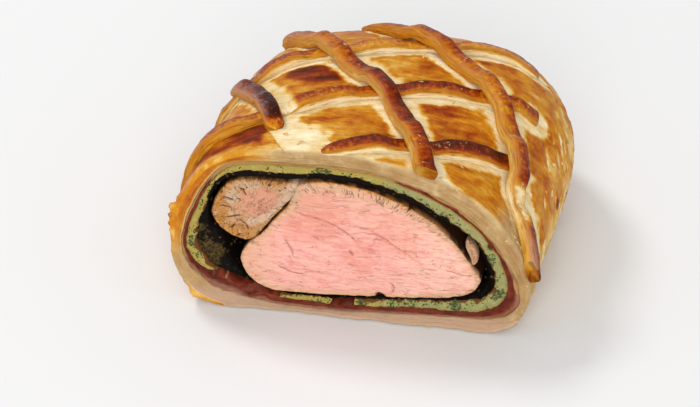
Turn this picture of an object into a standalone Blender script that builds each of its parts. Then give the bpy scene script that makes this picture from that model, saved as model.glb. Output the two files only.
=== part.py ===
"""Half a beef wellington, cut across: a puff pastry crust with a lattice of pastry strips on it,
and inside, layer by layer, cured ham, a herb crepe, mushroom duxelles and the beef fillet with
its side muscle.  The cut face looks along -Y, the tucked far end is at +Y, and the flat base
rests at Z = 0.

The shape is drawn in millimetres as it stands on the board.  Every outline on the cut face is a
closed smooth curve through corner points (x, z), from the lower left round by the right.  The
layers run back from the cut and close as domes inside the crust's far end.
"""

import math

import bmesh
import bpy
import numpy as np
from mathutils import Matrix, Vector

MM = 0.001

# Driving dimensions, in millimetres.
CUT_Y = -62.0            # plane of the cut face
CRUST_END_Y = 63.0       # tip of the tucked far end
SHOULDER_Y = -6.0        # where the crust starts to round towards its far end
END_FULLNESS = 2.3       # power of the end's curve: 2 is an ellipse, more is blunter
SWING = 0.04             # how far its tip lies to +X for each millimetre behind the cut
GAP = 0.3                # between solids that touch
HEART = (2.0, 26.0)      # point inside the loaf that its layers are drawn around

# The crust's outline at the cut, and behind its shoulder, where the loaf is fuller on the right.
CRUST_AT_CUT = [
    (-44, 0), (0, 0), (46, 0), (56.5, 5), (60.5, 16), (58.5, 29), (51, 43), (38, 55), (20, 62.5),
    (0, 65.3), (-20, 65), (-37, 63), (-49, 57), (-57, 45.5), (-61.5, 31), (-61, 15), (-55, 4),
]
CRUST_BEHIND = [
    (-42, 0), (3, 0), (50, 0), (61, 5), (66, 17), (66.5, 31), (61, 46), (50, 57), (31, 63),
    (9, 65), (-13, 64.5), (-31, 61), (-44.5, 53), (-53, 41), (-57.5, 27.5), (-58, 14), (-52, 4),
]
BLEND_LENGTH = 85.0      # distance behind the cut over which the one turns into the other

# Boundaries between the layers at the cut, from the crust inwards.
CRUST_TO_HAM = [
    (-37, 4.0), (-22, 2.6), (0, 2.8), (20, 4.2), (36, 4.9), (46.5, 5.6), (53.4, 8.4), (56.8, 13.6),
    (56.7, 19.8), (53.2, 28.8), (46, 39.5), (36.4, 48.6), (24, 55.2), (12, 59.2), (-4, 61.4),
    (-20, 61), (-34, 60.1), (-43, 57.7), (-49.7, 50), (-54.8, 40), (-58.1, 30), (-59, 22),
    (-56.5, 15), (-50.5, 9),
]
HAM_TO_CREPE = [
    (-35, 8), (-22, 4.8), (0, 5.3), (20, 6.5), (35, 7.4), (44, 8.7), (49.8, 11.6), (52.7, 16.5),
    (52.9, 21.5), (50.2, 30), (44, 39.5), (34.9, 47.4), (23, 54), (11.5, 58), (-4, 60.2),
    (-20, 59.8), (-33.5, 58.9), (-42, 56.5), (-48.6, 49), (-53.6, 39.2), (-56.8, 29.5),
    (-57.2, 22.5), (-54, 16), (-46, 11.6),
]
CREPE_TO_DUXELLES = [
    (-36, 10.6), (-24, 7.1), (-8, 7.4), (8, 8.8), (24, 10.4), (38, 12.1), (44.5, 13.8),
    (47.8, 17.3), (48.3, 21.5), (46.6, 28.5), (43.4, 35.5), (36.4, 41.2), (27.5, 47.4),
    (17, 53), (6.5, 56.3), (-6, 58), (-18, 56.5), (-30, 55.9), (-38.5, 55.2), (-46.3, 50.4),
    (-49.9, 41.4), (-52.6, 33), (-53.2, 24), (-48.5, 15.8),
]
DUXELLES_TO_BEEF = [
    (-32, 9), (-28, 7.8), (-20, 7.7), (-8, 8.1), (8, 9.5), (24, 11.1), (36, 13), (41.6, 15.4),
    (44.5, 19.5), (44.6, 24.5), (43.5, 31.5), (40.6, 37.4), (30.8, 43.1), (22.5, 48.3),
    (12.5, 52.2), (0, 55), (-13, 55.3), (-20.5, 54.3), (-33, 53.8), (-41.8, 52.2), (-47.2, 46.4),
    (-48.8, 39), (-46.9, 31.7), (-41, 26.2), (-39.8, 20), (-36.8, 12.5),
]
# How far the duxelles' front sits back from the cut: the direction of a spot on it, then how far
# at the crepe, at its ledge and at the beef.  It falls away in the hollow at the lower left.
DUXELLES_FRONT = [
    ((-48, 42), 1.0, 2.0, 4.0), ((-52, 28), 1.5, 3.5, 15.0), ((-44, 16), 2.0, 4.5, 15.0),
    ((-30, 7.5), 1.5, 4.0, 8.0), ((0, 7.6), 0.6, 1.0, 1.5), ((30, 10.5), 0.6, 1.0, 1.5),
    ((46, 18), 1.5, 4.0, 9.0), ((43, 33), 1.5, 3.0, 5.0), ((30, 44), 1.0, 2.0, 3.0),
    ((0, 57), 1.0, 1.5, 2.0), ((-40, 55), 1.0, 1.5, 2.0),
]
LEDGE_SHARE = 0.6        # of the way from the crepe to the beef
# The crepe is one sheet rolled round, open at the lower left, where a loose piece lies under it.
CREPE_EDGES = ((-46.5, 14.2), (0.5, 6.5))
CREPE_PIECE_EDGES = ((-24.5, 6), (-7.3, 6))

FILLET = [
    (-38.7, 20.7), (-38, 17), (-36, 13.2), (-32.4, 10.2), (-27.8, 8.4), (-20, 8.3), (-8, 8.7),
    (8.3, 10), (24, 11.7), (34.3, 13.2), (40.7, 15.7), (43.3, 19), (43.6, 22.2), (41.6, 25.2),
    (38.6, 30.3), (35.2, 35.2), (31.7, 38.8), (28, 42.6), (21.5, 46.9), (13.1, 50.9),
    (2.9, 53.8), (-7.4, 54.9), (-14, 54.4), (-18.2, 52.1), (-19.4, 49), (-21.9, 43.6), (-26.3, 37.7),
    (-30.6, 31.6), (-36.2, 25.9),
]
SIDE_MUSCLE = [
    (-38.6, 28.2), (-35.4, 28.4), (-31.8, 32.5), (-27.4, 38.8), (-23, 45.4), (-20.6, 50),
    (-20.2, 52.4), (-24.4, 53), (-32, 53), (-37.8, 52.6), (-41.4, 51.2), (-45.6, 46.1),
    (-47.9, 40.6), (-47.8, 36.2), (-43.3, 30.3),
]
SHRED = [
    (38.5, 36.9), (40.2, 36.1), (42, 33.4), (42.7, 30.6), (42.3, 28.2), (41, 27.1), (40.2, 29.2),
    (39.4, 31.6), (38.3, 34.4),
]
SHRED_LENGTH = 5.0

# Where each layer's own far end closes.
CRUST_TO_HAM_END_Y = 50.0
HAM_TO_CREPE_END_Y = 48.0
CREPE_TO_DUXELLES_END_Y = 43.5
DUXELLES_TO_BEEF_END_Y = 42.0
FILLET_END_Y = 41.5
MUSCLE_END_Y = 31.0
BEEF_ROUNDING = 14.0     # over which the beef's own ends round off
INNER_SHOULDER_Y = -12.0
INNER_END_HEIGHT = 24.0  # height of the point that the inner layers close on

# Lattice strips, drawn on the rolled-out crust: (across, y), where "across" is measured round
# the crust from its crown, positive to +X.  Each runs from the back to the front or left to right.
CROWN_AT = 0.654         # share of the crust's outline where its crown lies
GIRTH = 321.0            # length of that outline
UNDER_STRIPS = {
    "strip_under_front": [
        (-27, -76), (-9, -65), (0, -60), (12.5, -54.5), (22.5, -51), (34, -47), (42.5, -42.5),
        (54, -36.5), (64, -30),
    ],
    "strip_under_middle": [
        (-70, -47), (-60, -46), (-50, -46), (-40, -45), (-31, -42.5), (-17.5, -34), (-7.5, -27.2),
        (3, -22.5), (14, -18.6), (26, -14.8), (36, -12), (48, -8), (60, -6),
    ],
    "strip_under_rear": [
        (-66, -12), (-54, -11.5), (-42, -7.5), (-32, -1.5), (-18, 3), (-6, 7), (4, 11), (14, 14.4),
        (25, 17), (34, 20), (44, 21), (54, 19),
    ],
    "strip_under_end": [
        (-78, 8), (-71, 22), (-62, 35), (-48, 46), (-28, 53), (-6, 55.5), (16, 54.5), (36, 49),
    ],
}
OVER_STRIPS = {
    "strip_over_left": [
        (-56, 1), (-50.5, -6), (-44.5, -13), (-38.8, -19.5), (-32, -27.5), (-26.5, -35.5),
        (-21.5, -44.5), (-17, -53),
    ],
    "strip_over_middle": [
        (-62, 56), (-57, 47), (-51, 38), (-44.5, 29.5), (-38, 22), (-31, 15), (-21.5, 6.5),
        (-6, -9), (5, -18.5), (15, -30.5), (25, -45), (33, -60), (40, -76),
    ],
    "strip_over_right": [
        (-18, 42), (-13, 35), (-7.5, 29.5), (-1, 25.3), (5, 21), (13, 14.5), (25.5, 4), (37, -5),
        (44.5, -13.5), (51, -21), (56, -28), (60.5, -35), (63.5, -42), (68, -47.5), (75, -53),
        (83, -59.5), (97, -76),
    ],
}
STRIP_WIDTH = 7.4
OVER_HEIGHT = 4.5
UNDER_HEIGHT = 3.7
PRESSED_HEIGHT = 2.0     # of an under strip where an over strip crosses it
THINNED = 0.45           # share of its height that a strip keeps at an end stretched thin
THINNING_LENGTH = 18.0
CROSS_REACH = 5.2        # half the length of a crossing
CROSS_RAMP = 7.0         # over which a strip climbs or sinks beside it
STRIP_STEP = 4.4         # between the rings of a strip
END_TAPER = 0.75         # size of a strip's last ring
NORMAL_SPAN = 0.8        # over which the crust's slope is measured

# Mesh density.
DIRECTIONS = 38          # points round each ring
CRUST_RINGS = 19
LAYER_RINGS = 8
FIRST_LAYER_STEP = 16.0  # the layers' second ring, behind every recess
FINE = 20                # samples between two corners of an outline while it is being measured

PASTRY_COLOUR = (0.80, 0.50, 0.20)
STRIP_COLOUR = (0.60, 0.27, 0.07)
HAM_COLOUR = (0.42, 0.12, 0.09)
CREPE_COLOUR = (0.62, 0.62, 0.33)
DUXELLES_COLOUR = (0.07, 0.04, 0.025)
FILLET_COLOUR = (0.86, 0.50, 0.45)
MUSCLE_COLOUR = (0.70, 0.45, 0.32)


def between(first, last, t, at_first, at_last):
    return at_first + (at_last - at_first) * (t - first) / (last - first)


def curve(points, samples, closed=True):
    """A smooth curve through the points, with that many samples from one to the next."""
    corners = np.array(points, float)
    if closed:
        corners = np.vstack([corners[-1], corners, corners[:2]])
    else:
        corners = np.vstack([2 * corners[0] - corners[1], corners, 2 * corners[-1] - corners[-2]])
    made = []
    for four in (corners[i:i + 4] for i in range(len(corners) - 3)):
        knots = [0.0]
        for a, b in zip(four, four[1:]):
            knots.append(knots[-1] + math.sqrt(np.linalg.norm(b - a)))
        t = np.linspace(knots[1], knots[2], samples, endpoint=False)[:, None]
        a = [between(knots[k], knots[k + 1], t, four[k], four[k + 1]) for k in (0, 1, 2)]
        b = [between(knots[k], knots[k + 2], t, a[k], a[k + 1]) for k in (0, 1)]
        made.append(between(knots[1], knots[2], t, b[0], b[1]))
    if not closed:
        made.append(corners[-2:-1])
    return np.vstack(made)


def smooth(t):
    t = np.clip(t, 0.0, 1.0)
    return t * t * (3.0 - 2.0 * t)


def along(line):
    """Distance along a line at each of its points."""
    return np.concatenate([[0.0], np.cumsum(np.linalg.norm(np.diff(line, axis=0), axis=1))])


def direction(point):
    """Angle, about the loaf's heart, at which a point of the section lies."""
    return math.atan2(point[1] - HEART[1], point[0] - HEART[0])


def reach(outline, angles):
    """Distance from the loaf's heart to an outline at each angle."""
    about = outline - np.array(HEART)
    turn = np.arctan2(about[:, 1], about[:, 0])
    return np.interp(angles, turn, np.hypot(about[:, 0], about[:, 1]), period=2 * math.pi)


def at_angles(outline, angles):
    """Where an outline lies at each angle."""
    ray = np.column_stack([np.cos(angles), np.sin(angles)])
    return np.array(HEART) + ray * reach(outline, angles)[:, None]


def end_scale(y, shoulder, end):
    """How much of its full size an outline keeps at y, as the far end rounds off."""
    t = np.clip((y - shoulder) / (end - shoulder), 0.0, 1.0)
    return (1.0 - t**END_FULLNESS) ** (1.0 / END_FULLNESS)


def swing(y, scale=0.0):
    """How far to +X an outline has moved at y, once the far end has rounded it to scale."""
    return SWING * (y - CUT_Y) * (1.0 - scale)


def crust_outline(y):
    """The crust's outline at y, before its far end rounds it off."""
    share = float(smooth((y - CUT_Y) / BLEND_LENGTH))
    outline = curve(np.array(CRUST_AT_CUT) * (1 - share) + np.array(CRUST_BEHIND) * share, FINE)
    outline[:, 1] = np.maximum(outline[:, 1], 0.0)
    return outline


def crust_section(outline, y):
    """An outline on the crust's skin at y as points in space."""
    scale = float(end_scale(y, SHOULDER_Y, CRUST_END_Y))
    x = HEART[0] + (outline[:, 0] - HEART[0]) * scale + swing(y, scale)
    z = np.maximum(outline[:, 1] * scale, 0.0)
    return np.column_stack([x, np.full(len(x), y), z])


def layer_section(points, y, end):
    """An inner outline at y: grown in each direction as the crust is, and rounded off."""
    about = np.array(points) - np.array(HEART)
    angles = np.arctan2(about[:, 1], about[:, 0])
    ratio = reach(crust_outline(y), angles) / reach(crust_outline(CUT_Y), angles)
    points = np.array(HEART) + about * ratio[:, None]
    scale = float(end_scale(y, INNER_SHOULDER_Y, end))
    x = HEART[0] + (points[:, 0] - HEART[0]) * scale + swing(y, scale)
    z = INNER_END_HEIGHT + (points[:, 1] - INNER_END_HEIGHT) * scale
    return np.column_stack([x, np.full(len(x), y), z])


def ring_angles():
    """The directions in which every layer has its points, among them the crepe's edges."""
    outline = crust_outline(CUT_Y)
    loop = np.vstack([outline, outline[:1]])
    length = along(loop)
    where = np.linspace(0.0, length[-1], DIRECTIONS, endpoint=False)
    spots = np.column_stack([np.interp(where, length, loop[:, k]) for k in (0, 1)])
    angles = np.unwrap([direction(p) for p in spots])
    for edge in CREPE_EDGES + CREPE_PIECE_EDGES:
        turned = angles[0] + (direction(edge) - angles[0]) % (2 * math.pi)
        angles[np.argmin(np.abs(angles - turned))] = turned
    return angles


def grown(outline, by):
    """An outline moved outwards by a distance."""
    ahead = np.roll(outline, -1, 0) - np.roll(outline, 1, 0)
    normal = np.column_stack([ahead[:, 1], -ahead[:, 0]])
    normal /= np.linalg.norm(normal, axis=1)[:, None]
    return outline + normal * by


def end_steps(first, second, end, count, share):
    """Positions from first to near end, closer together where the end rounds off."""
    last = second + (end - second) * share
    turns = np.sin(np.linspace(0.0, math.pi / 2, count - 1))
    return [first] + list(second + (last - second) * turns)


def skin(boundary, end, offset, angles):
    """The rings and the pole of one side of a boundary between two layers."""
    outline = at_angles(grown(curve(boundary, FINE), offset), angles)
    end += offset
    steps = end_steps(CUT_Y, CUT_Y + FIRST_LAYER_STEP, end, LAYER_RINGS, 0.985)
    pole = (HEART[0] + swing(end), end, INNER_END_HEIGHT)
    return [layer_section(outline, y, end) for y in steps], pole


def material(name, colour, roughness):
    made = bpy.data.materials.new(name)
    made.use_nodes = True
    shader = made.node_tree.nodes["Principled BSDF"]
    shader.inputs["Base Color"].default_value = (*colour, 1.0)
    shader.inputs["Roughness"].default_value = roughness
    shader.inputs["Metallic"].default_value = 0.0
    return made


def add_piece(name, bm, made_of, collection):
    """Turns the built shape, in millimetres, into a named object in metres."""
    bmesh.ops.recalc_face_normals(bm, faces=bm.faces)
    bmesh.ops.scale(bm, vec=(MM, MM, MM), verts=bm.verts)
    mesh = bpy.data.meshes.new(name)
    bm.to_mesh(mesh)
    bm.free()
    mesh.materials.append(made_of)
    mesh.shade_smooth()
    mesh.set_sharp_from_angle(angle=math.radians(40))
    piece = bpy.data.objects.new(name, mesh)
    collection.objects.link(piece)


def add_rings(bm, rings, closed=True):
    """Faces through the rings in turn."""
    rows = [[bm.verts.new(point) for point in ring] for ring in rings]
    for near, far in zip(rows, rows[1:]):
        join(bm, near, far, closed)
    return rows


def join(bm, near, far, closed=True):
    count = len(near)
    for i in range(count if closed else count - 1):
        j = (i + 1) % count
        bm.faces.new((near[i], near[j], far[j], far[i]))


def add_skin(bm, rings, pole, closed=True):
    """A skin through the rings, drawn together to its pole at the far end."""
    rows = add_rings(bm, rings, closed)
    tip = bm.verts.new(pole)
    count = len(rows[-1])
    for i in range(count if closed else count - 1):
        bm.faces.new((rows[-1][i], rows[-1][(i + 1) % count], tip))
    return rows, tip


def add_layer(name, outer, inner, made_of, collection, closed=True, ledge=None):
    """A layer between two skins, each its rings and pole; the cut shows the wall between them.

    A ledge is one more ring on that wall."""
    bm = bmesh.new()
    out_rows, out_tip = add_skin(bm, *outer, closed)
    in_rows, in_tip = add_skin(bm, *inner, closed)
    if ledge is None:
        join(bm, out_rows[0], in_rows[0], closed)
    else:
        shelf = [bm.verts.new(point) for point in ledge]
        join(bm, out_rows[0], shelf, closed)
        join(bm, shelf, in_rows[0], closed)
    if not closed:
        for side in (0, -1):
            join(bm, [row[side] for row in out_rows], [row[side] for row in in_rows], False)
            bm.faces.new((out_rows[-1][side], out_tip, in_tip, in_rows[-1][side]))
    add_piece(name, bm, made_of, collection)


def only(skin_made, angles, edges):
    """The part of a skin between two edges."""
    rings, pole = skin_made
    turned = [angles[0] + (direction(e) - angles[0]) % (2 * math.pi) for e in edges]
    first, last = (int(np.argmin(np.abs(angles - t))) for t in turned)
    count = (last - first) % len(angles) + 1
    keep = [(first + i) % len(angles) for i in range(count)]
    return [ring[keep] for ring in rings], pole


def add_crust(angles, made_of, collection):
    rings = []
    for y in end_steps(CUT_Y, CUT_Y + 7.0, CRUST_END_Y, CRUST_RINGS, 0.992):
        rings.append(crust_section(at_angles(crust_outline(y), angles), y))
    pole = (HEART[0] + swing(CRUST_END_Y), CRUST_END_Y, 0.0)
    outer = (rings, pole)
    inner = skin(CRUST_TO_HAM, CRUST_TO_HAM_END_Y, GAP / 2, angles)
    add_layer("crust", outer, inner, made_of, collection)


def set_back(ring, behind, recess):
    """The first ring of a skin, moved along the skin to sit back from the cut."""
    return ring + (behind - ring) * (recess / FIRST_LAYER_STEP)[:, None]


def add_duxelles(angles, made_of, collection):
    turns = [direction(spot) for spot, *_ in DUXELLES_FRONT]
    at_crepe, at_ledge, at_beef = (
        np.interp(angles, turns, [row[k] for row in DUXELLES_FRONT], period=2 * math.pi)
        for k in (1, 2, 3)
    )
    outer = skin(CREPE_TO_DUXELLES, CREPE_TO_DUXELLES_END_Y, -GAP / 2, angles)
    inner = skin(DUXELLES_TO_BEEF, DUXELLES_TO_BEEF_END_Y, 0.0, angles)
    ledge = outer[0][0] * (1 - LEDGE_SHARE) + inner[0][0] * LEDGE_SHARE
    ledge[:, 1] += at_ledge
    outer[0][0] = set_back(outer[0][0], outer[0][1], at_crepe)
    inner[0][0] = set_back(inner[0][0], inner[0][1], at_beef)
    add_layer("duxelles", outer, inner, made_of, collection, ledge=ledge)


def add_beef(name, outline, end, made_of, collection):
    """A muscle that runs back from the cut inside the other layers and closes on itself."""
    bm = bmesh.new()
    rings = []
    room = DUXELLES_TO_BEEF_END_Y - GAP
    steps = end_steps(CUT_Y, CUT_Y + FIRST_LAYER_STEP, room, LAYER_RINGS, 0.985)
    for y in (y for y in steps if y < end - 1.0):
        ring = layer_section(outline, y, room)
        middle = ring.mean(0)
        rings.append(middle + (ring - middle) * float(end_scale(y, end - BEEF_ROUNDING, end)))
    last = rings[-1].mean(0)
    rows, _ = add_skin(bm, rings, (last[0], end, last[2]))
    bm.faces.new(rows[0])
    add_piece(name, bm, made_of, collection)


def add_shred(made_of, collection):
    """A curl of seared meat that has come away beside the fillet."""
    bm = bmesh.new()
    outline = np.array(SHRED)
    middle = outline.mean(0)
    rings = []
    for share, size in ((0.0, 1.0), (0.7, 0.95), (1.0, 0.6)):
        ring = middle + (outline - middle) * size
        rings.append([(x, CUT_Y + share * SHRED_LENGTH, z) for x, z in ring])
    rows = add_rings(bm, rings)
    bm.faces.new(rows[0])
    bm.faces.new(rows[-1])
    add_piece("beef_shred", bm, made_of, collection)


def on_crust(across, y):
    """The point of the crust's skin at a place on its rolled-out sheet."""
    ring = crust_section(crust_outline(y), y)
    loop = np.vstack([ring, ring[:1]])
    length = along(loop)
    where = ((CROWN_AT - across / GIRTH) % 1.0) * length[-1]
    return np.array([np.interp(where, length, loop[:, k]) for k in range(3)])


def crust_normal(across, y):
    y = min(y, CRUST_END_Y - 2 * NORMAL_SPAN)
    round_it = on_crust(across + NORMAL_SPAN, y) - on_crust(across - NORMAL_SPAN, y)
    back = on_crust(across, y + NORMAL_SPAN) - on_crust(across, y - NORMAL_SPAN)
    normal = np.cross(round_it, back)
    return normal / np.linalg.norm(normal)


def near_crossing(place, others):
    """1 where another strip's line passes, 0 well away from every other strip."""
    away = min(np.linalg.norm(line - place, axis=1).min() for line in others)
    return 1.0 - float(smooth((away - CROSS_REACH) / CROSS_RAMP))


def strip_profile(width, height, base):
    """A strip's cross-section, (side, up): flat below, upright sides, rounded top."""
    half = width / 2
    return [
        (-half, base), (half, base), (half, base + 0.5 * height),
        (0.82 * half, base + 0.86 * height), (0.4 * half, base + height),
        (-0.4 * half, base + height), (-0.82 * half, base + 0.86 * height),
        (-half, base + 0.5 * height),
    ]


def add_strip(name, corners, others, over, made_of, collection):
    """One pastry strip, laid along its line on the crust and cut off by the cut face."""
    line = curve(corners, FINE, closed=False)
    length = along(line)
    count = round(length[-1] / STRIP_STEP)
    where = np.linspace(0.0, length[-1], count + 1)
    places = np.column_stack([np.interp(where, length, line[:, k]) for k in (0, 1)])
    points = np.array([on_crust(*place) for place in places])
    rings = []
    for i, place in enumerate(places):
        normal = crust_normal(*place)
        ahead = points[min(i + 1, count)] - points[max(i - 1, 0)]
        side = np.cross(ahead, normal)
        side /= np.linalg.norm(side)
        near = near_crossing(place, others)
        size = END_TAPER if i in (0, count) else 1.0
        to_thin_end = where[i] if over else min(where[i], length[-1] - where[i])
        size_up = size * (THINNED + (1 - THINNED) * float(smooth(to_thin_end / THINNING_LENGTH)))
        if over:
            base = GAP + near * (PRESSED_HEIGHT + 1.5 * GAP)
            profile = strip_profile(STRIP_WIDTH * size, OVER_HEIGHT * size_up, base)
        else:
            height = min(UNDER_HEIGHT * size_up, UNDER_HEIGHT + (PRESSED_HEIGHT - UNDER_HEIGHT) * near)
            profile = strip_profile(STRIP_WIDTH * size, height, GAP)
        rings.append([points[i] + side * s + normal * u for s, u in profile])
    bm = bmesh.new()
    rows = add_rings(bm, rings)
    bm.faces.new(rows[0])
    bm.faces.new(rows[-1])
    every = list(bm.verts) + list(bm.edges) + list(bm.faces)
    bmesh.ops.bisect_plane(bm, geom=every, plane_co=(0, CUT_Y, 0), plane_no=(0, -1, 0),
                           clear_outer=True, dist=0.001)
    bmesh.ops.holes_fill(bm, edges=[edge for edge in bm.edges if edge.is_boundary])
    add_piece(name, bm, made_of, collection)


def move_to_origin(collection):
    """Moves everything so that the origin is under the middle of the loaf's box."""
    corners = np.array([vert.co for piece in collection.objects for vert in piece.data.vertices])
    middle = (corners.min(0) + corners.max(0)) / 2
    shift = Matrix.Translation(Vector((-middle[0], -middle[1], 0.0)))
    for piece in collection.objects:
        piece.data.transform(shift)


def main():
    for old in list(bpy.data.objects):
        bpy.data.objects.remove(old, do_unlink=True)
    parts = bpy.data.collections.new("beef_wellington_half")
    bpy.context.scene.collection.children.link(parts)
    pastry = material("pastry", PASTRY_COLOUR, 0.5)
    glazed = material("glazed_strip", STRIP_COLOUR, 0.35)
    ham = material("ham", HAM_COLOUR, 0.45)
    crepe = material("herb_crepe", CREPE_COLOUR, 0.7)
    mushroom = material("duxelles", DUXELLES_COLOUR, 0.6)
    fillet = material("fillet", FILLET_COLOUR, 0.5)
    muscle = material("side_muscle", MUSCLE_COLOUR, 0.5)

    angles = ring_angles()
    add_crust(angles, pastry, parts)
    add_layer("ham", skin(CRUST_TO_HAM, CRUST_TO_HAM_END_Y, -GAP / 2, angles),
              skin(HAM_TO_CREPE, HAM_TO_CREPE_END_Y, GAP / 2, angles), ham, parts)
    outside = skin(HAM_TO_CREPE, HAM_TO_CREPE_END_Y, -GAP / 2, angles)
    inside = skin(CREPE_TO_DUXELLES, CREPE_TO_DUXELLES_END_Y, GAP / 2, angles)
    for name, edges in (("herb_crepe", CREPE_EDGES[::-1]), ("crepe_piece", CREPE_PIECE_EDGES)):
        add_layer(name, only(outside, angles, edges), only(inside, angles, edges), crepe, parts,
                  closed=False)
    add_duxelles(angles, mushroom, parts)
    add_beef("fillet", FILLET, FILLET_END_Y, fillet, parts)
    add_beef("side_muscle", SIDE_MUSCLE, MUSCLE_END_Y, muscle, parts)
    add_shred(muscle, parts)

    under_lines = [curve(corners, FINE, closed=False) for corners in UNDER_STRIPS.values()]
    over_lines = [curve(corners, FINE, closed=False) for corners in OVER_STRIPS.values()]
    for name, corners in UNDER_STRIPS.items():
        add_strip(name, corners, over_lines, False, glazed, parts)
    for name, corners in OVER_STRIPS.items():
        add_strip(name, corners, under_lines, True, glazed, parts)
    move_to_origin(parts)


main()
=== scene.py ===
"""The looks of half a beef wellington: its crust, lattice strips, ham, herb crepe, mushroom
duxelles and beef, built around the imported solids, on a pale floor in soft light.

Shapes are drawn in millimetres as they stand on the board, with the cut face looking along -Y,
and are moved under the frame's origin when they become meshes.  Outlines on the cut face are
closed smooth curves through corner points (x, z), from the lower left round by the right.
"""

import itertools
import math

import bmesh
import bpy
import numpy as np
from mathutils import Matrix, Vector


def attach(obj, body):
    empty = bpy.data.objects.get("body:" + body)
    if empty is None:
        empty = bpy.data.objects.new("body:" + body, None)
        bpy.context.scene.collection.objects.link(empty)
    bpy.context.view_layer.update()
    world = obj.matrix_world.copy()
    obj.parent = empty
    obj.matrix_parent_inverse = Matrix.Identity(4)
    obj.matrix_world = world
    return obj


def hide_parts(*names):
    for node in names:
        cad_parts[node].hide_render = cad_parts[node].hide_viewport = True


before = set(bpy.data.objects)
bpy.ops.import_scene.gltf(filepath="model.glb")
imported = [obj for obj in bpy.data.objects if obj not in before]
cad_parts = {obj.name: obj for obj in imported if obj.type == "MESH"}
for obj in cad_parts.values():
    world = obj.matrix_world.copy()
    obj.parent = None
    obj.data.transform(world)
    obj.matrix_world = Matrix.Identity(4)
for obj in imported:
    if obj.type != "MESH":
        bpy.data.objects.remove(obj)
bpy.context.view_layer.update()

BODY = "root"
MM = 0.001
MIDDLE = (1.364, 0.5)    # of the loaf's box, (x, y): the frame's origin is under it

# ---------------------------------------------------------------------------------------------
# Driving dimensions, in millimetres, as the solids have them.

CUT_Y = -62.0            # plane of the cut face
CRUST_END_Y = 63.0       # tip of the tucked far end
SHOULDER_Y = -6.0        # where the crust starts to round towards its far end
END_FULLNESS = 2.3       # power of the end's curve
SWING = 0.04             # how far its tip lies to +X for each millimetre behind the cut
HEART = (2.0, 26.0)      # point inside the loaf that its layers are drawn around
BLEND_LENGTH = 85.0      # over which the crust's outline at the cut turns into the one behind
INNER_SHOULDER_Y = -12.0
INNER_END_HEIGHT = 24.0
CROWN_AT = 0.654         # share of the crust's outline where its crown lies
GIRTH = 321.0            # length of that outline
FINE = 20                # samples between two corners of an outline
SEAM = 0.06              # left between the faces of two layers

CRUST_AT_CUT = [
    (-44, 0), (0, 0), (46, 0), (56.5, 5), (60.5, 16), (58.5, 29), (51, 43), (38, 55), (20, 62.5),
    (0, 65.3), (-20, 65), (-37, 63), (-49, 57), (-57, 45.5), (-61.5, 31), (-61, 15), (-55, 4),
]
CRUST_BEHIND = [
    (-42, 0), (3, 0), (50, 0), (61, 5), (66, 17), (66.5, 31), (61, 46), (50, 57), (31, 63),
    (9, 65), (-13, 64.5), (-31, 61), (-44.5, 53), (-53, 41), (-57.5, 27.5), (-58, 14), (-52, 4),
]
CRUST_TO_HAM = [
    (-37, 4.0), (-22, 2.6), (0, 2.8), (20, 4.2), (36, 4.9), (46.5, 5.6), (53.4, 8.4), (56.8, 13.6),
    (56.7, 19.8), (53.2, 28.8), (46, 39.5), (36.4, 48.6), (24, 55.2), (12, 59.2), (-4, 61.4),
    (-20, 61), (-34, 60.1), (-43, 57.7), (-49.7, 50), (-54.8, 40), (-58.1, 30), (-59, 22),
    (-56.5, 15), (-50.5, 9),
]
HAM_TO_CREPE = [
    (-35, 8), (-22, 4.8), (0, 5.3), (20, 6.5), (35, 7.4), (44, 8.7), (49.8, 11.6), (52.7, 16.5),
    (52.9, 21.5), (50.2, 30), (44, 39.5), (34.9, 47.4), (23, 54), (11.5, 58), (-4, 60.2),
    (-20, 59.8), (-33.5, 58.9), (-42, 56.5), (-48.6, 49), (-53.6, 39.2), (-56.8, 29.5),
    (-57.2, 22.5), (-54, 16), (-46, 11.6),
]
CREPE_TO_DUXELLES = [
    (-36, 10.6), (-24, 7.1), (-8, 7.4), (8, 8.8), (24, 10.4), (38, 12.1), (44.5, 13.8),
    (47.8, 17.3), (48.3, 21.5), (46.6, 28.5), (43.4, 35.5), (36.4, 41.2), (27.5, 47.4),
    (17, 53), (6.5, 56.3), (-6, 58), (-18, 56.5), (-30, 55.9), (-38.5, 55.2), (-46.3, 50.4),
    (-49.9, 41.4), (-52.6, 33), (-53.2, 24), (-48.5, 15.8),
]
DUXELLES_TO_BEEF = [
    (-32, 9), (-28, 7.8), (-20, 7.7), (-8, 8.1), (8, 9.5), (24, 11.1), (36, 13), (41.6, 15.4),
    (44.5, 19.5), (44.6, 24.5), (43.5, 31.5), (40.6, 37.4), (30.8, 43.1), (22.5, 48.3),
    (12.5, 52.2), (0, 55), (-13, 55.3), (-20.5, 54.3), (-33, 53.8), (-41.8, 52.2), (-47.2, 46.4),
    (-48.8, 39), (-46.9, 31.7), (-41, 26.2), (-39.8, 20), (-36.8, 12.5),
]
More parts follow.
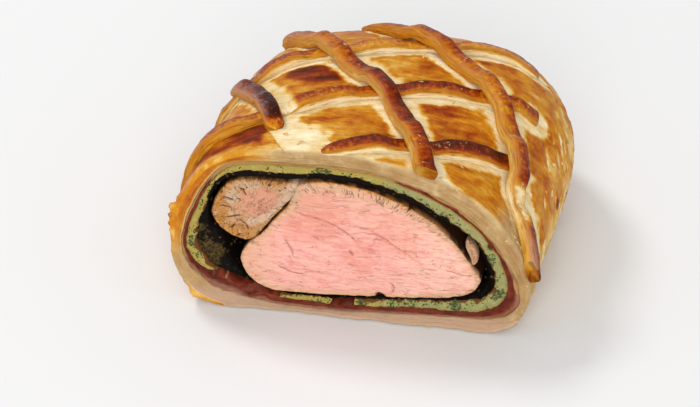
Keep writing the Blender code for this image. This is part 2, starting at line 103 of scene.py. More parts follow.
# How far the duxelles' front sits back from the cut, by the direction of a spot on it: at the
# crepe, at its ledge and at the beef.
DUXELLES_FRONT = [
    ((-48, 42), 0.8, 1.2, 2.5), ((-52, 28), 1.5, 3.5, 15.0), ((-44, 16), 2.0, 4.5, 15.0),
    ((-30, 7.5), 1.5, 4.0, 8.0), ((0, 7.6), 0.6, 0.8, 0.9), ((30, 10.5), 0.6, 0.8, 0.9),
    ((46, 18), 1.5, 4.0, 7.0), ((43, 33), 1.0, 1.6, 2.2), ((30, 44), 0.5, 0.9, 1.2),
    ((0, 57), 0.5, 0.7, 0.9), ((-40, 55), 0.5, 0.8, 1.0),
]
CREPE_EDGES = ((-46.5, 14.2), (0.5, 6.5))
CREPE_PIECE_EDGES = ((-24.5, 6), (-7.3, 6))
FILLET = [
    (-38.7, 20.7), (-38, 17), (-36, 13.2), (-32.4, 10.2), (-27.8, 8.4), (-20, 8.3), (-8, 8.7),
    (8.3, 10), (24, 11.7), (34.3, 13.2), (40.7, 15.7), (43.3, 19), (43.6, 22.2), (41.6, 25.2),
    (38.6, 30.3), (35.2, 35.2), (31.7, 38.8), (28, 42.6), (21.5, 46.9), (13.1, 50.9),
    (2.9, 53.8), (-7.4, 54.9), (-14, 54.4), (-18.5, 52.2), (-19.7, 49.2), (-22.2, 43.8),
    (-26.6, 37.9), (-30.9, 31.8), (-36.2, 25.9),
]
SIDE_MUSCLE = [
    (-38.6, 28.2), (-35.2, 28.2), (-31.1, 32.1), (-26.8, 38.3), (-22.1, 44.7), (-19.6, 49.0),
    (-18.3, 52.5), (-24.4, 53), (-32, 53), (-37.8, 52.6), (-41.4, 51.2), (-45.6, 46.1),
    (-47.9, 40.6), (-47.8, 36.2), (-43.3, 30.3),
]
SHRED = [
    (38.5, 36.9), (40.2, 36.1), (42, 33.4), (42.7, 30.6), (42.3, 28.2), (41, 27.1), (40.2, 29.2),
    (39.4, 31.6), (38.3, 34.4),
]
CRUST_TO_HAM_END_Y = 50.0
HAM_TO_CREPE_END_Y = 48.0
CREPE_TO_DUXELLES_END_Y = 43.5
DUXELLES_TO_BEEF_END_Y = 42.0
FILLET_END_Y = 41.5
MUSCLE_END_Y = 31.0
BEEF_ROUNDING = 14.0

# Lattice strips on the rolled-out crust: (across, y), across measured round from the crown.
UNDER_STRIPS = {
    "strip_under_front": [
        (-27, -76), (-9, -65), (0, -60), (12.5, -54.5), (22.5, -51), (34, -47), (42.5, -42.5),
        (54, -36.5), (64, -30),
    ],
    "strip_under_middle": [
        (-70, -47), (-60, -46), (-50, -46), (-40, -45), (-31, -42.5), (-17.5, -34), (-7.5, -27.2),
        (3, -22.5), (14, -18.6), (26, -14.8), (36, -12), (48, -8), (60, -6),
    ],
    "strip_under_rear": [
        (-66, -12), (-54, -11.5), (-42, -7.5), (-32, -1.5), (-18, 3), (-6, 7), (4, 11), (14, 14.4),
        (25, 17), (34, 20), (44, 21), (54, 19),
    ],
    "strip_under_end": [
        (-78, 8), (-71, 22), (-62, 35), (-48, 46), (-28, 53), (-6, 55.5), (16, 54.5), (36, 49),
    ],
}
OVER_STRIPS = {
    "strip_over_left": [
        (-56, 1), (-50.5, -6), (-44.5, -13), (-38.8, -19.5), (-32, -27.5), (-26.5, -35.5),
        (-21.5, -44.5), (-17, -53),
    ],
    "strip_over_middle": [
        (-62, 56), (-57, 47), (-51, 38), (-44.5, 29.5), (-38, 22), (-31, 15), (-21.5, 6.5),
        (-6, -9), (5, -18.5), (15, -30.5), (25, -45), (33, -60), (40, -76),
    ],
    "strip_over_right": [
        (-18, 42), (-13, 35), (-7.5, 29.5), (-1, 25.3), (5, 21), (13, 14.5), (25.5, 4), (37, -5),
        (44.5, -13.5), (51, -21), (56, -28), (60.5, -35), (63.5, -42), (68, -47.5), (75, -53),
        (83, -59.5), (97, -76),
    ],
}
STRIP_WIDTH = 7.4
OVER_HEIGHT = 4.5
UNDER_HEIGHT = 3.7
PRESSED_HEIGHT = 2.0     # of an under strip where an over strip crosses it
THINNED = 0.45           # share of its height that a strip keeps at an end stretched thin
THINNING_LENGTH = 18.0
FAR_THINNING = 30.0      # the same at an over strip's far end
CROSS_REACH = 5.2        # half the length of a crossing
CROSS_RAMP = 7.0         # over which a strip climbs or sinks beside it


# ---------------------------------------------------------------------------------------------
# Drawing.

def between(first, last, t, at_first, at_last):
    return at_first + (at_last - at_first) * (t - first) / (last - first)


def curve(points, samples=FINE, closed=True):
    """A smooth curve through the points, with that many samples from one to the next."""
    corners = np.array(points, float)
    if closed:
        corners = np.vstack([corners[-1], corners, corners[:2]])
    else:
        corners = np.vstack([2 * corners[0] - corners[1], corners, 2 * corners[-1] - corners[-2]])
    made = []
    for four in (corners[i:i + 4] for i in range(len(corners) - 3)):
        knots = [0.0]
        for a, b in zip(four, four[1:]):
            knots.append(knots[-1] + math.sqrt(np.linalg.norm(b - a)))
        t = np.linspace(knots[1], knots[2], samples, endpoint=False)[:, None]
        a = [between(knots[k], knots[k + 1], t, four[k], four[k + 1]) for k in (0, 1, 2)]
        b = [between(knots[k], knots[k + 2], t, a[k], a[k + 1]) for k in (0, 1)]
        made.append(between(knots[1], knots[2], t, b[0], b[1]))
    if not closed:
        made.append(corners[-2:-1])
    return np.vstack(made)


def smooth(t):
    """0 below 0, 1 above 1, smooth between."""
    t = np.clip(t, 0.0, 1.0)
    return t * t * (3.0 - 2.0 * t)


def along(line):
    """Distance along a line at each of its points."""
    return np.concatenate([[0.0], np.cumsum(np.linalg.norm(np.diff(line, axis=0), axis=1))])


def looped(line):
    return np.vstack([line, line[:1]])


def unit(vectors, least=0.0):
    """Vectors at length 1; those shorter than `least` stay shorter."""
    return vectors / np.maximum(np.linalg.norm(vectors, axis=-1, keepdims=True), least)


def read_at(where, at, line):
    """A line's points at some of the distances at which its own points lie."""
    return np.column_stack([np.interp(where, at, line[:, k]) for k in range(line.shape[1])])


def evenly(line, count, closed=False):
    """The same line with points at equal distances."""
    loop = looped(line) if closed else line
    length = along(loop)
    return read_at(np.linspace(0.0, length[-1], count, endpoint=not closed), length, loop)


def turn_of(points):
    """Angle, about the loaf's heart, at which points of the section lie."""
    points = np.asarray(points, float)
    return np.arctan2(points[..., 1] - HEART[1], points[..., 0] - HEART[0])


def reach(outline, angles):
    """Distance from the loaf's heart to an outline at each angle."""
    about = outline - np.array(HEART)
    return np.interp(angles, turn_of(outline), np.hypot(about[:, 0], about[:, 1]),
                     period=2 * math.pi)


def at_angles(outline, angles):
    """Where an outline lies at each angle."""
    ray = np.column_stack([np.cos(angles), np.sin(angles)])
    return np.array(HEART) + ray * reach(outline, angles)[:, None]


def angles_from(angles, spot):
    """How far, in radians, each angle is turned from a spot's."""
    away = angles - turn_of(spot)
    return np.abs((away + math.pi) % (2 * math.pi) - math.pi)


def pushed(outline, amount, centre=HEART):
    """An outline moved away from its centre, by one amount or by each point's own."""
    away = unit(outline - np.array(centre))
    return outline + away * np.broadcast_to(amount, len(outline))[:, None]


def spread(first, last, share):
    """Outlines between a first and a last one, at a column of shares of the way."""
    return first[None] * (1 - share[..., None]) + last[None] * share[..., None]


def on_cut(spots, depth):
    """Spots (x, z) of the cut face as points in space, at some depth behind the cut."""
    return np.stack([spots[..., 0], CUT_Y + depth, spots[..., 1]], -1)


def end_scale(y, shoulder, end):
    """How much of its full size an outline keeps at y, as the far end rounds off."""
    t = np.clip((y - shoulder) / (end - shoulder), 0.0, 1.0)
    return (1.0 - t**END_FULLNESS) ** (1.0 / END_FULLNESS)


def placed(outline, y, scale, height):
    """An outline at y as points in space, drawn together towards a height by a scale, and
    swung to +X by as much as that scale takes off."""
    x = HEART[0] + (outline[:, 0] - HEART[0]) * scale + SWING * (y - CUT_Y) * (1.0 - scale)
    z = height + (outline[:, 1] - height) * scale
    return np.column_stack([x, np.full(len(x), y), z])


def tip_at(y, height=INNER_END_HEIGHT):
    """Where a layer that ends at y closes."""
    return HEART[0] + SWING * (y - CUT_Y), y, height


def crust_outline(y):
    """The crust's outline at y, before its far end rounds it off."""
    share = float(smooth((y - CUT_Y) / BLEND_LENGTH))
    outline = curve(np.array(CRUST_AT_CUT) * (1 - share) + np.array(CRUST_BEHIND) * share)
    outline[:, 1] = np.maximum(outline[:, 1], 0.0)
    return outline


def layer_section(points, y, end):
    """An inner outline at y: grown in each direction as the crust is, and rounded off."""
    about, angles = np.array(points) - np.array(HEART), turn_of(points)
    ratio = reach(crust_outline(y), angles) / reach(crust_outline(CUT_Y), angles)
    scale = float(end_scale(y, INNER_SHOULDER_Y, end))
    return placed(np.array(HEART) + about * ratio[:, None], y, scale, INNER_END_HEIGHT)


def normals_of(grid):
    """Outward normals of a grid of points whose rows are rings anticlockwise round the loaf."""
    across = np.roll(grid, -1, 1) - np.roll(grid, 1, 1)
    return unit(np.cross(np.gradient(grid, axis=0), across), 1e-9)


def scrambled(cells, seed):
    """A number from -1 to 1 for each cell of a lattice, the same each time."""
    n = (cells * np.array([73856093, 19349663, 83492791])).sum(-1) + seed * 1013904223
    for _ in range(3):
        n = n & 0xFFFFFFFF
        n = (n ^ (n >> 15)) * 739982445
    return ((n >> 9) & 0xFFFF) / 32767.5 - 1.0


def noise(points, size, seed, octaves=3):
    """Smooth unevenness, about -1 to 1, whose lumps measure `size`."""
    scaled = np.asarray(points, float) / size
    if scaled.shape[-1] == 2:
        scaled = np.concatenate([scaled, np.full(scaled.shape[:-1] + (1,), 0.5)], -1)
    total, weight, weights = 0.0, 1.0, 0.0
    for octave in range(octaves):
        cell = np.floor(scaled).astype(np.int64)
        share = smooth(scaled - cell)
        for corner in itertools.product((0, 1), repeat=3):
            pick = np.where(np.array(corner, bool), share, 1.0 - share).prod(-1)
            total = total + weight * pick * scrambled(cell + np.array(corner), seed + octave)
        weights += weight
        weight *= 0.5
        scaled = scaled * 2.0 + 7.31
    return 1.7 * total / weights


def apart(points, line):
    """How far each point is from a line of close points, and which of those is nearest."""
    flat = points.reshape(-1, points.shape[-1])
    far, nearest = [], []
    for some in np.array_split(flat, max(1, len(flat) * len(line) // 4_000_000)):
        gap = np.linalg.norm(some[:, None] - line[None], axis=2)
        far.append(gap.min(1))
        nearest.append(gap.argmin(1))
    return (np.concatenate(far).reshape(points.shape[:-1]),
            np.concatenate(nearest).reshape(points.shape[:-1]))


def beside(points, line):
    """The same, and whether each point is on the line's left."""
    far, nearest = apart(points, line)
    ahead, away = np.gradient(line, axis=0)[nearest], points - line[nearest]
    return far, nearest, ahead[..., 0] * away[..., 1] > ahead[..., 1] * away[..., 0]


# ---------------------------------------------------------------------------------------------
# Meshes.

def grid_faces(rows, columns, closed):
    start = np.arange(rows - 1)[:, None] * columns
    here = np.arange(columns if closed else columns - 1)[None, :]
    there = (here + 1) % columns
    corners = [start + here, start + there, start + columns + there, start + columns + here]
    return np.stack(corners, -1).reshape(-1, 4)


def grid_corners(u, v):
    """Where each corner of each face of a grid lies on its flat pattern."""
    u, v = np.asarray(u, float), np.asarray(v, float)
    rows, columns = len(v) - 1, len(u) - 1
    left, right = np.tile(u[:-1], (rows, 1)), np.tile(u[1:], (rows, 1))
    near, far = np.tile(v[:-1, None], (1, columns)), np.tile(v[1:, None], (1, columns))
    corners = [(left, near), (right, near), (right, far), (left, far)]
    return np.stack([np.stack(c, -1) for c in corners], 2).reshape(-1, 2)


def into_scene(name, data):
    made = bpy.data.objects.new(name, data)
    bpy.context.scene.collection.objects.link(made)
    return made


def to_frame(points):
    return (np.asarray(points, float) - np.array([*MIDDLE, 0.0])) * MM


def new_piece(name, points, faces, corners, values):
    """A mesh object from points in millimetres, with a flat pattern and values at its points."""
    mesh = bpy.data.meshes.new(name)
    mesh.from_pydata(to_frame(points).tolist(), [], [list(map(int, face)) for face in faces])
    mesh.uv_layers.new(name="sheet").data.foreach_set("uv", (corners * MM).ravel())
    for title, value in values.items():
        made = mesh.attributes.new(title, "FLOAT", "POINT")
        made.data.foreach_set("value", np.asarray(value, np.float32).ravel())
    return into_scene(name, mesh)


def close_up(piece, cut=False):
    """Merges doubled points, cuts off what stands in front of the cut, and turns faces outwards."""
    bm = bmesh.new()
    bm.from_mesh(piece.data)
    bmesh.ops.remove_doubles(bm, verts=bm.verts, dist=1e-6)
    if cut:
        every = list(bm.verts) + list(bm.edges) + list(bm.faces)
        at = to_frame((0.0, CUT_Y, 0.0))
        bmesh.ops.bisect_plane(bm, geom=every, plane_co=at, plane_no=(0, -1, 0), clear_outer=True,
                               dist=1e-7)
        bmesh.ops.holes_fill(bm, edges=[edge for edge in bm.edges if edge.is_boundary])
    bmesh.ops.recalc_face_normals(bm, faces=bm.faces)
    bm.to_mesh(piece.data)
    bm.free()
    piece.data.shade_smooth()


def tube(name, grid, u, v, values, first, last):
    """A closed piece through rings of points, each end drawn together to a pole."""
    rows, columns = grid.shape[:2]
    points = [grid.reshape(-1, 3)]
    faces = list(grid_faces(rows, columns, True))
    corners = [grid_corners(u, v)]
    values = {title: [np.broadcast_to(value, (rows, columns)).ravel()]
              for title, value in values.items()}
    ring = np.arange(columns)
    for pole, row in ((first, 0), (last, rows - 1)):
        tip = sum(len(part) for part in points)
        points.append(np.array([pole], float))
        start = row * columns
        faces += [(start + i, start + (i + 1) % columns, tip) for i in ring]
        side = np.stack([np.stack([u[:-1], u[1:], (u[:-1] + u[1:]) / 2], 1),
                         np.full((columns, 3), v[row])], -1)
        corners.append(side.reshape(-1, 2))
        for title, parts in values.items():
            parts.append([parts[0][start:start + columns].mean()])
    values = {title: np.concatenate(parts) for title, parts in values.items()}
    piece = new_piece(name, np.vstack(points), faces, np.vstack(corners), values)
    close_up(piece)
    return piece


def set_on(piece, material, slot, *nodes):
    """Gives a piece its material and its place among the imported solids."""
    if material is not None:
        piece.data.materials.clear()
        piece.data.materials.append(material)
    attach(piece, BODY)
    if nodes:
        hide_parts(*nodes)
    return piece


# ---------------------------------------------------------------------------------------------
# Node trees, written as sums.

class Wire:
    """What comes out of a socket; arithmetic on it adds Math nodes."""

    def __init__(self, plan, socket):
        self.plan, self.socket = plan, socket

    def __add__(self, other):
        return self.plan.math("ADD", self, other)

    def __sub__(self, other):
        return self.plan.math("SUBTRACT", self, other)

    def __rsub__(self, other):
        return self.plan.math("SUBTRACT", other, self)

    def __mul__(self, other):
        return self.plan.math("MULTIPLY", self, other)

    def __rtruediv__(self, other):
        return self.plan.math("DIVIDE", other, self)

    __radd__ = __add__
    __rmul__ = __mul__


class Plan:
    """A node tree while it is being drawn."""

    def __init__(self, tree):
        self.tree = tree

    def put(self, socket, value):
        if isinstance(value, Wire):
            self.tree.links.new(value.socket, socket)
        else:
            socket.default_value = value

    def node(self, kind, inputs=None, out=0, **settings):
        made = self.tree.nodes.new(kind)
        for key, value in settings.items():
            setattr(made, key, value)
        for key, value in (inputs or {}).items():
            self.put(made.inputs[key], value)
        return Wire(self, made.outputs[out]) if out is not None else made

    def math(self, operation, *values):
        return self.node("ShaderNodeMath", dict(enumerate(values)), operation=operation)

    def vector(self, operation, *values):
        return self.node("ShaderNodeVectorMath", dict(enumerate(values)), operation=operation)

    def scaled(self, vector, amount):
        return self.node("ShaderNodeVectorMath", {0: vector, "Scale": amount}, operation="SCALE")

    def rise(self, value, low, high):
        """0 below low, 1 above high, smooth between; the other way round if low is above high."""
        return self.node("ShaderNodeMapRange", {"Value": value, "From Min": low, "From Max": high},
                         interpolation_type="SMOOTHSTEP")

    def field(self, name, kind="FLOAT"):
        """A named value of the mesh, in a geometry tree."""
        return self.node("GeometryNodeInputNamedAttribute", {"Name": name}, "Attribute",
                         data_type=kind)


def start_tree(name, *inputs):
    """A geometry tree and its named inputs, from their titles, kinds and values."""
    tree = bpy.data.node_groups.new(name, "GeometryNodeTree")
    sockets = (("Geometry", "Geometry", None), *inputs, ("Finish", "Material", None))
    for title, kind, value in sockets:
        made = tree.interface.new_socket(title, in_out="INPUT", socket_type="NodeSocket" + kind)
        if value is not None:
            made.default_value = value
    tree.interface.new_socket("Geometry", in_out="OUTPUT", socket_type="NodeSocketGeometry")
    plan, given = Plan(tree), tree.nodes.new("NodeGroupInput")
    return plan, {socket.name: Wire(plan, socket) for socket in given.outputs if socket.name}


def end_tree(plan, geometry, finish):
    """Ends a geometry tree in a plain mesh with its material."""
    real = plan.node("GeometryNodeRealizeInstances", {"Geometry": geometry})
    painted = plan.node("GeometryNodeSetMaterial", {"Geometry": real, "Material": finish})
    plan.put(plan.tree.nodes.new("NodeGroupOutput").inputs[0], painted)
    return plan.tree


class Paint(Plan):
    """A material's tree."""

    def __init__(self, name):
        self.material = bpy.data.materials.new(name)
        self.material.use_nodes = True
        super().__init__(self.material.node_tree)
        self.shader = self.tree.nodes["Principled BSDF"]
        self.place = self.node("ShaderNodeTexCoord", out="Object")

    def mark(self, name):
        return self.node("ShaderNodeAttribute", out="Fac", attribute_name=name)

    def sheet(self, across=1.0, down=1.0):
        """The flat pattern's coordinates, stretched."""
        flat = self.node("ShaderNodeUVMap", uv_map="sheet")
        return self.vector("MULTIPLY", flat, (across, down, 1.0))

    def grain(self, size, detail=3.0, where=None, rough=0.55, bend=0.0):
        """Cloudy noise whose lumps measure `size` millimetres, about -0.5 to 0.5."""
        inputs = {"Vector": where or self.place, "Scale": 1.0 / (size * MM), "Detail": detail,
                  "Roughness": rough, "Distortion": bend}
        return self.node("ShaderNodeTexNoise", inputs) - 0.5

    def thread(self, size, detail, where, width, bend=0.0):
        """1 along thin wandering lines, 0 elsewhere."""
        level = self.math("ABSOLUTE", self.grain(size, detail, where, bend=bend))
        return self.rise(level, width, 0.0)

    def cells(self, size):
        inputs = {"Vector": self.place, "Scale": 1.0 / (size * MM)}
        return self.node("ShaderNodeTexVoronoi", inputs, "Distance")

    def ramp(self, value, stops):
        made = self.node("ShaderNodeValToRGB", {"Fac": value}, out=None)
        line = made.color_ramp.elements
        while len(line) < len(stops):
            line.new(0.5)
        for element, (at, colour) in zip(line, stops):
            element.position = at
            element.color = (*colour, 1.0)
        return Wire(self, made.outputs["Color"])

    def mix(self, share, first, second):
        first, second = (c if isinstance(c, Wire) else (*c, 1.0) for c in (first, second))
        made = self.node("ShaderNodeMix", {0: share, 6: first, 7: second}, None, data_type="RGBA")
        return Wire(self, made.outputs[2])

    def over(self, first, second, value, low, high, share=None):
        """A colour with a second one over it where a value rises from low to high."""
        cover = self.rise(value, low, high)
        return self.mix(cover if share is None else cover * share, first, second)

    def mapped(self, value, low, high, at_low, at_high):
        """A value from low to high turned into one from at_low to at_high."""
        return self.node("ShaderNodeMapRange", {"Value": value, "From Min": low, "From Max": high,
                         "To Min": at_low, "To Max": at_high})

    def finish(self, colour, roughness, shine, height=None, depth=0.2, soft=None):
        """Sets the surface: its relief's height in units of `depth` millimetres, and for soft
        food how much light goes under its surface and how many metres deep."""
        shader = self.shader.inputs
        self.put(shader["Base Color"], colour)
        self.put(shader["Roughness"], roughness)
        shader["Specular IOR Level"].default_value = shine
        if height is not None:
            bump = {"Height": height, "Distance": depth * MM, "Strength": 1.0}
            self.put(shader["Normal"], self.node("ShaderNodeBump", bump))
        if soft is not None:
            shader["Subsurface Weight"].default_value = soft[0]
            shader["Subsurface Scale"].default_value = soft[1]
        return self.material


# ---------------------------------------------------------------------------------------------
# Colours, linear.

BAKED = [                # pastry from raw to nearly burnt
    (0.00, (0.95, 0.82, 0.56)), (0.16, (0.86, 0.66, 0.34)), (0.29, (0.76, 0.47, 0.12)),
    (0.42, (0.63, 0.265, 0.012)), (0.56, (0.49, 0.135, 0.003)), (0.69, (0.30, 0.036, 0.001)),
    (0.83, (0.125, 0.012, 0.001)), (1.00, (0.035, 0.006, 0.002)),
]
BUBBLE = (0.84, 0.48, 0.17)
FLAKE = (0.86, 0.66, 0.36)
FLAKE_BROWN = (0.60, 0.30, 0.06)
DOUGH = (0.47, 0.295, 0.125)
DOUGH_DARK = (0.36, 0.195, 0.070)
DOUGH_LIGHT = (0.56, 0.39, 0.20)
DOUGH_RAW = (0.63, 0.455, 0.245)
DOUGH_WET = (0.50, 0.32, 0.205)
HAM_DARK = (0.100, 0.013, 0.006)
HAM_RED = (0.22, 0.038, 0.014)
HAM_FAT = (0.66, 0.38, 0.25)
HAM_VEILED = (0.40, 0.225, 0.075)
HAM_PALE = (0.50, 0.27, 0.16)
CREPE_YELLOW = (0.39, 0.295, 0.060)
CREPE_GREEN = (0.31, 0.295, 0.105)
CREPE_CREAM = (0.52, 0.47, 0.22)
CREPE_GOLD = (0.40, 0.20, 0.030)
# dark brown of the crepe's browned inner edge, also painted shade in the notch at its break
CREPE_BROWN_AND_SHADE = (0.15, 0.055, 0.010)
HERB = (0.020, 0.044, 0.014)
HERB_LIGHT = (0.110, 0.150, 0.040)
# nearly black: dark mushroom, and painted shade of the gap and hollow between crepe and beef
MUSHROOM_IN_SHADE = (0.004, 0.002, 0.001)
MUSHROOM_BROWN = (0.100, 0.062, 0.016)
PINK = (0.89, 0.44, 0.375)
PINK_DEEP = (0.78, 0.27, 0.20)
PINK_PALE = (0.91, 0.53, 0.41)
RAW_RED = (0.55, 0.115, 0.075)
# darker red of the split meat, and painted shade in the fillet's carved grooves
SPLIT_RED_AND_SHADE = (0.36, 0.095, 0.065)
TAN = (0.72, 0.42, 0.25)
TAN_PINK = (0.77, 0.40, 0.27)
RIM_GOLD = (0.60, 0.27, 0.055)
SEARED = (0.23, 0.09, 0.026)
MUSCLE_PINK = (0.66, 0.30, 0.19)
MUSCLE_TAN = (0.60, 0.31, 0.15)
MUSCLE_GOLD = (0.50, 0.21, 0.038)
MUSCLE_PALE = (0.60, 0.42, 0.265)
IN_SHADE = (0.045, 0.016, 0.006)
MUSCLE_CRACK = (0.085, 0.026, 0.007)
SINEW = (0.64, 0.43, 0.29)
# painted sheen: greyish pink standing in for light reflected off the strips' glaze
PAINTED_SHEEN = (0.46, 0.29, 0.235)
FLOOR = (0.80, 0.80, 0.80)


# ---------------------------------------------------------------------------------------------
# Crust.

CRUST_COLUMNS = (46, 360)      # on the base, and on the rest of the outline
BASE_SHARE = 0.28              # of the outline that lies on the board
SKIN_ROWS = 190
WALL_ROWS = 14                 # across the cut wall of the crust
EDGE_ROUND = 1.5               # radius between the cut and the skin
EDGE_ROWS = 5
INNER_ROWS = 6
INNER_TURN = 1.45              # radians of the quarter turn that its rings take to the tip
FAR_END_FROM = 34.0            # y from which the sheet gathers towards the far tip
FAR_SHARE = 0.994              # of the way to the far tip that the last ring lies

# Glaze stays off the pastry beside a strip: how far beyond the strip's own edge, to each side.
OVER_BARE = (0.6, 4.6)         # towards the crown's left, towards its right
UNDER_BARE = (1.9, 0.5)        # in front, behind
LEFT_PANE_EDGE = ((-26.5, -41.7), (-12.7, -62.0))
# Spots that are paler or browner than the rest: (across, y), reach across, reach along y, amount.
SPOTS = [
    ((-11, -53), 10, 9, -0.95), ((-3, -62), 13, 3.5, -0.8), ((38, -62), 10, 3.0, -0.75),
    ((-19, -38), 4.5, 9, -0.45), ((22, -62.5), 4.5, 2.0, 0.85), ((-17, -10), 12, 6.5, 0.25),
    ((-36, -50.5), 16, 6.5, 0.20), ((-24, -51), 8, 6, 0.12), ((0, -38), 9, 5, 0.04),
    ((33, -27), 12, 7, 0.08), ((17, 1), 14, 7, -0.06), ((51, -54), 9, 8, -0.06),
    ((78, -54), 9, 16, -0.8), ((97, -52), 12, 18, -0.7), ((66, -8), 7, 8, -0.06),
    ((78, -24), 9, 12, -0.10), ((83, 2), 12, 14, -0.40), ((99, -20), 12, 22, -0.50),
    ((70, 12), 10, 12, -0.2), ((-84, -44), 9, 16, -0.40), ((-66, -30), 8, 9, -0.35),
    ((86, -19), 2.2, 1.6, 0.55), ((52, -8), 4, 8, -0.4), ((-50, -28), 8, 7, -0.3),
    ((-58, -58), 18, 8, 0.10),
]


def crust_shares():
    base, rest = CRUST_COLUMNS
    return np.concatenate([np.linspace(0.0, BASE_SHARE, base, endpoint=False),
                           np.linspace(BASE_SHARE, 1.0, rest, endpoint=False)])


def across_of(shares):
    """Distances round from the crown, positive to its right."""
    return (CROWN_AT - shares) * GIRTH


def skin_steps(count, start):
    """Positions along y whose rings lie at equal distances over the rounded far end."""
    y = CUT_Y + (CRUST_END_Y - CUT_Y) * np.sin(np.linspace(0, math.pi / 2, 400)) ** 0.8
    half_width = 60.0 * end_scale(y, SHOULDER_Y, CRUST_END_Y)
    profile = np.column_stack([y, half_width])
    keep = profile[(profile[:, 0] > start) & (profile[:, 0] < CRUST_END_Y * FAR_SHARE)]
    return evenly(np.vstack([[start, half_width[0]], keep]), count)[:, 0]


def ring_on_crust(y, shares, inset=0.0):
    """Points of the crust's skin at y, at shares of its outline."""
    scale = float(end_scale(y, SHOULDER_Y, CRUST_END_Y))
    loop = looped(placed(crust_outline(y), y, scale, 0.0))
    length = along(loop)
    made = read_at(shares * length[-1], length, loop)
    if inset:
        ahead = np.roll(made, -1, 0) - np.roll(made, 1, 0)
        made[:, [0, 2]] -= unit(np.column_stack([ahead[:, 2], -ahead[:, 0]])) * inset
    return made


# How uneven the boundaries between layers are: amount, size of its lumps, seed.
WAVES = {"ham": (0.30, 4.0, 11), "crepe": (0.35, 4.5, 12), "duxelles": (0.75, 3.2, 13),
         "beef": (0.25, 5.0, 14)}


def boundary(corners, angles, offset, wave):
    """A boundary between two layers on the cut, moved to one side of it and made uneven."""
    amount, size, seed = WAVES[wave]
    outline = at_angles(curve(corners), angles)
    return pushed(pushed(outline, noise(outline, size, seed) * amount), offset)


def strip_lines(strips):
    return {name: curve(corners, closed=False) for name, corners in strips.items()}


def bare_beside(places, line, bare):
    """0 on and beside a strip, 1 where the glaze is whole; bare is for its right and left side,
    as it runs towards +across."""
    far, _, on_left = beside(places, line)
    ragged = 0.9 * noise(places, 3.8, 31) + 0.5 * streaks(places, 30)
    margin = np.where(on_left, bare[1], bare[0]) + ragged
    return smooth((far - STRIP_WIDTH / 2 - margin + 0.8) / 3.0)


def glaze_on(places):
    """How much glaze the pastry carries at places (across, y)."""
    across, y = places[..., 0], places[..., 1]
    glaze = np.ones(across.shape)
    for strips, bare in ((OVER_STRIPS, OVER_BARE), (UNDER_STRIPS, UNDER_BARE)):
        for line in strip_lines(strips).values():
            glaze = np.minimum(glaze, bare_beside(places, line, bare))
    edge = y - CUT_Y + 5.0 * smooth((-22.0 - across) / 6.0)
    return glaze * smooth((edge - 0.8 - 0.8 * noise(places, 4.0, 32)) / 1.4)


def left_pane(places):
    """1 on the well-baked field at the upper left, whose glaze goes on to the cut."""
    across, y = places[..., 0], places[..., 1]
    (top, top_y), (low, low_y) = LEFT_PANE_EDGE
    edge = top + (y - top_y) / (low_y - top_y) * (low - top) + 0.4 * noise(places, 3.0, 33)
    return smooth((edge - across) / 0.9) * smooth((-38.0 - y) / 3.0)


def ledges(value, count, steepness):
    """A smooth value turned into steps with short slopes between them."""
    scaled = value * count
    whole = np.floor(scaled)
    return (whole + smooth((scaled - whole) / steepness)) / count


def drawn_out(places, turn, share, size, seed, octaves):
    """Unevenness stretched along one direction, given by its cosine and sine."""
    across, y = places[..., 0], places[..., 1]
    turned = np.stack([across * turn[0] + y * turn[1], y * turn[0] - across * turn[1]], -1)
    return noise(turned * np.array([share, 1.0]), size, seed, octaves)


def streaks(places, seed):
    """Unevenness drawn out along the rolled sheet, as its layers tear."""
    return drawn_out(places, (0.95, 0.3), 0.22, 2.0, seed, 3)


def flank_streaks(places, seed):
    """The same down the right flank, where the sheet is stretched downwards."""
    return drawn_out(places, (0.8, -0.6), 0.25, 3.4, seed, 4)


def browning_on(places, seen, glaze):
    """How baked the pastry looks, 0 raw and 1 burnt, and how whole its glaze is.

    The far end's unevenness follows its places as seen from behind, because the sheet gathers
    there."""
    across, y = places[..., 0], places[..., 1]
    far_end = smooth((y - FAR_END_FROM) / 14.0)

    def patches(size, seed):
        return noise(places, size, seed) * (1 - far_end) + noise(seen, size, seed) * far_end

    added, wavy = np.zeros(across.shape), 0.35 * noise(places, 3.5, 41)
    for (spot_across, spot_y), reach_across, reach_y, amount in SPOTS:
        away = ((across - spot_across) / reach_across) ** 2 + ((y - spot_y) / reach_y) ** 2
        added += amount * smooth(1.6 - (away + wavy))
    darker, paler = np.maximum(added, 0.0), np.minimum(added, 0.0)
    flank = smooth((across - 60.0) / 12.0)
    torn = flank_streaks(places, 42) * (1 - far_end) + noise(seen, 7.0, 42) * far_end
    patchy = smooth((torn + 0.30) / 0.30)
    pane = left_pane(places)
    whole = np.clip(glaze + paler, 0.0, 1.0) * (1 - flank * (1 - patchy))
    whole = np.maximum(whole, pane)
    level = 0.50 + 0.13 * patches(8.0, 43) + 0.11 * streaks(places, 44) * (1 - far_end)
    level -= 0.09 * pane * smooth((-57.5 - y + 1.5 * noise(places, 4.0, 48)) / 2.0)
    level += 0.64 * pane * (1 - pane)
    rim = 4.0 * whole * (1 - whole) * smooth((patches(5.0, 45) + 0.3) / 0.5)
    pale = 0.13 + 0.13 * streaks(places, 46) * (1 - far_end) + 0.08 * patches(4.0, 47)
    behind = smooth((y - 30.0) / 25.0) * 0.12
    baked = whole * (level + darker + paler * 0.15) + (1 - whole) * pale + 0.17 * rim + behind
    return np.clip(baked, 0.0, 1.0), whole


def on_flank(places):
    """1 on the right flank, 0 over the crown."""
    return smooth((places[..., 0] - 58.0) / 10.0)


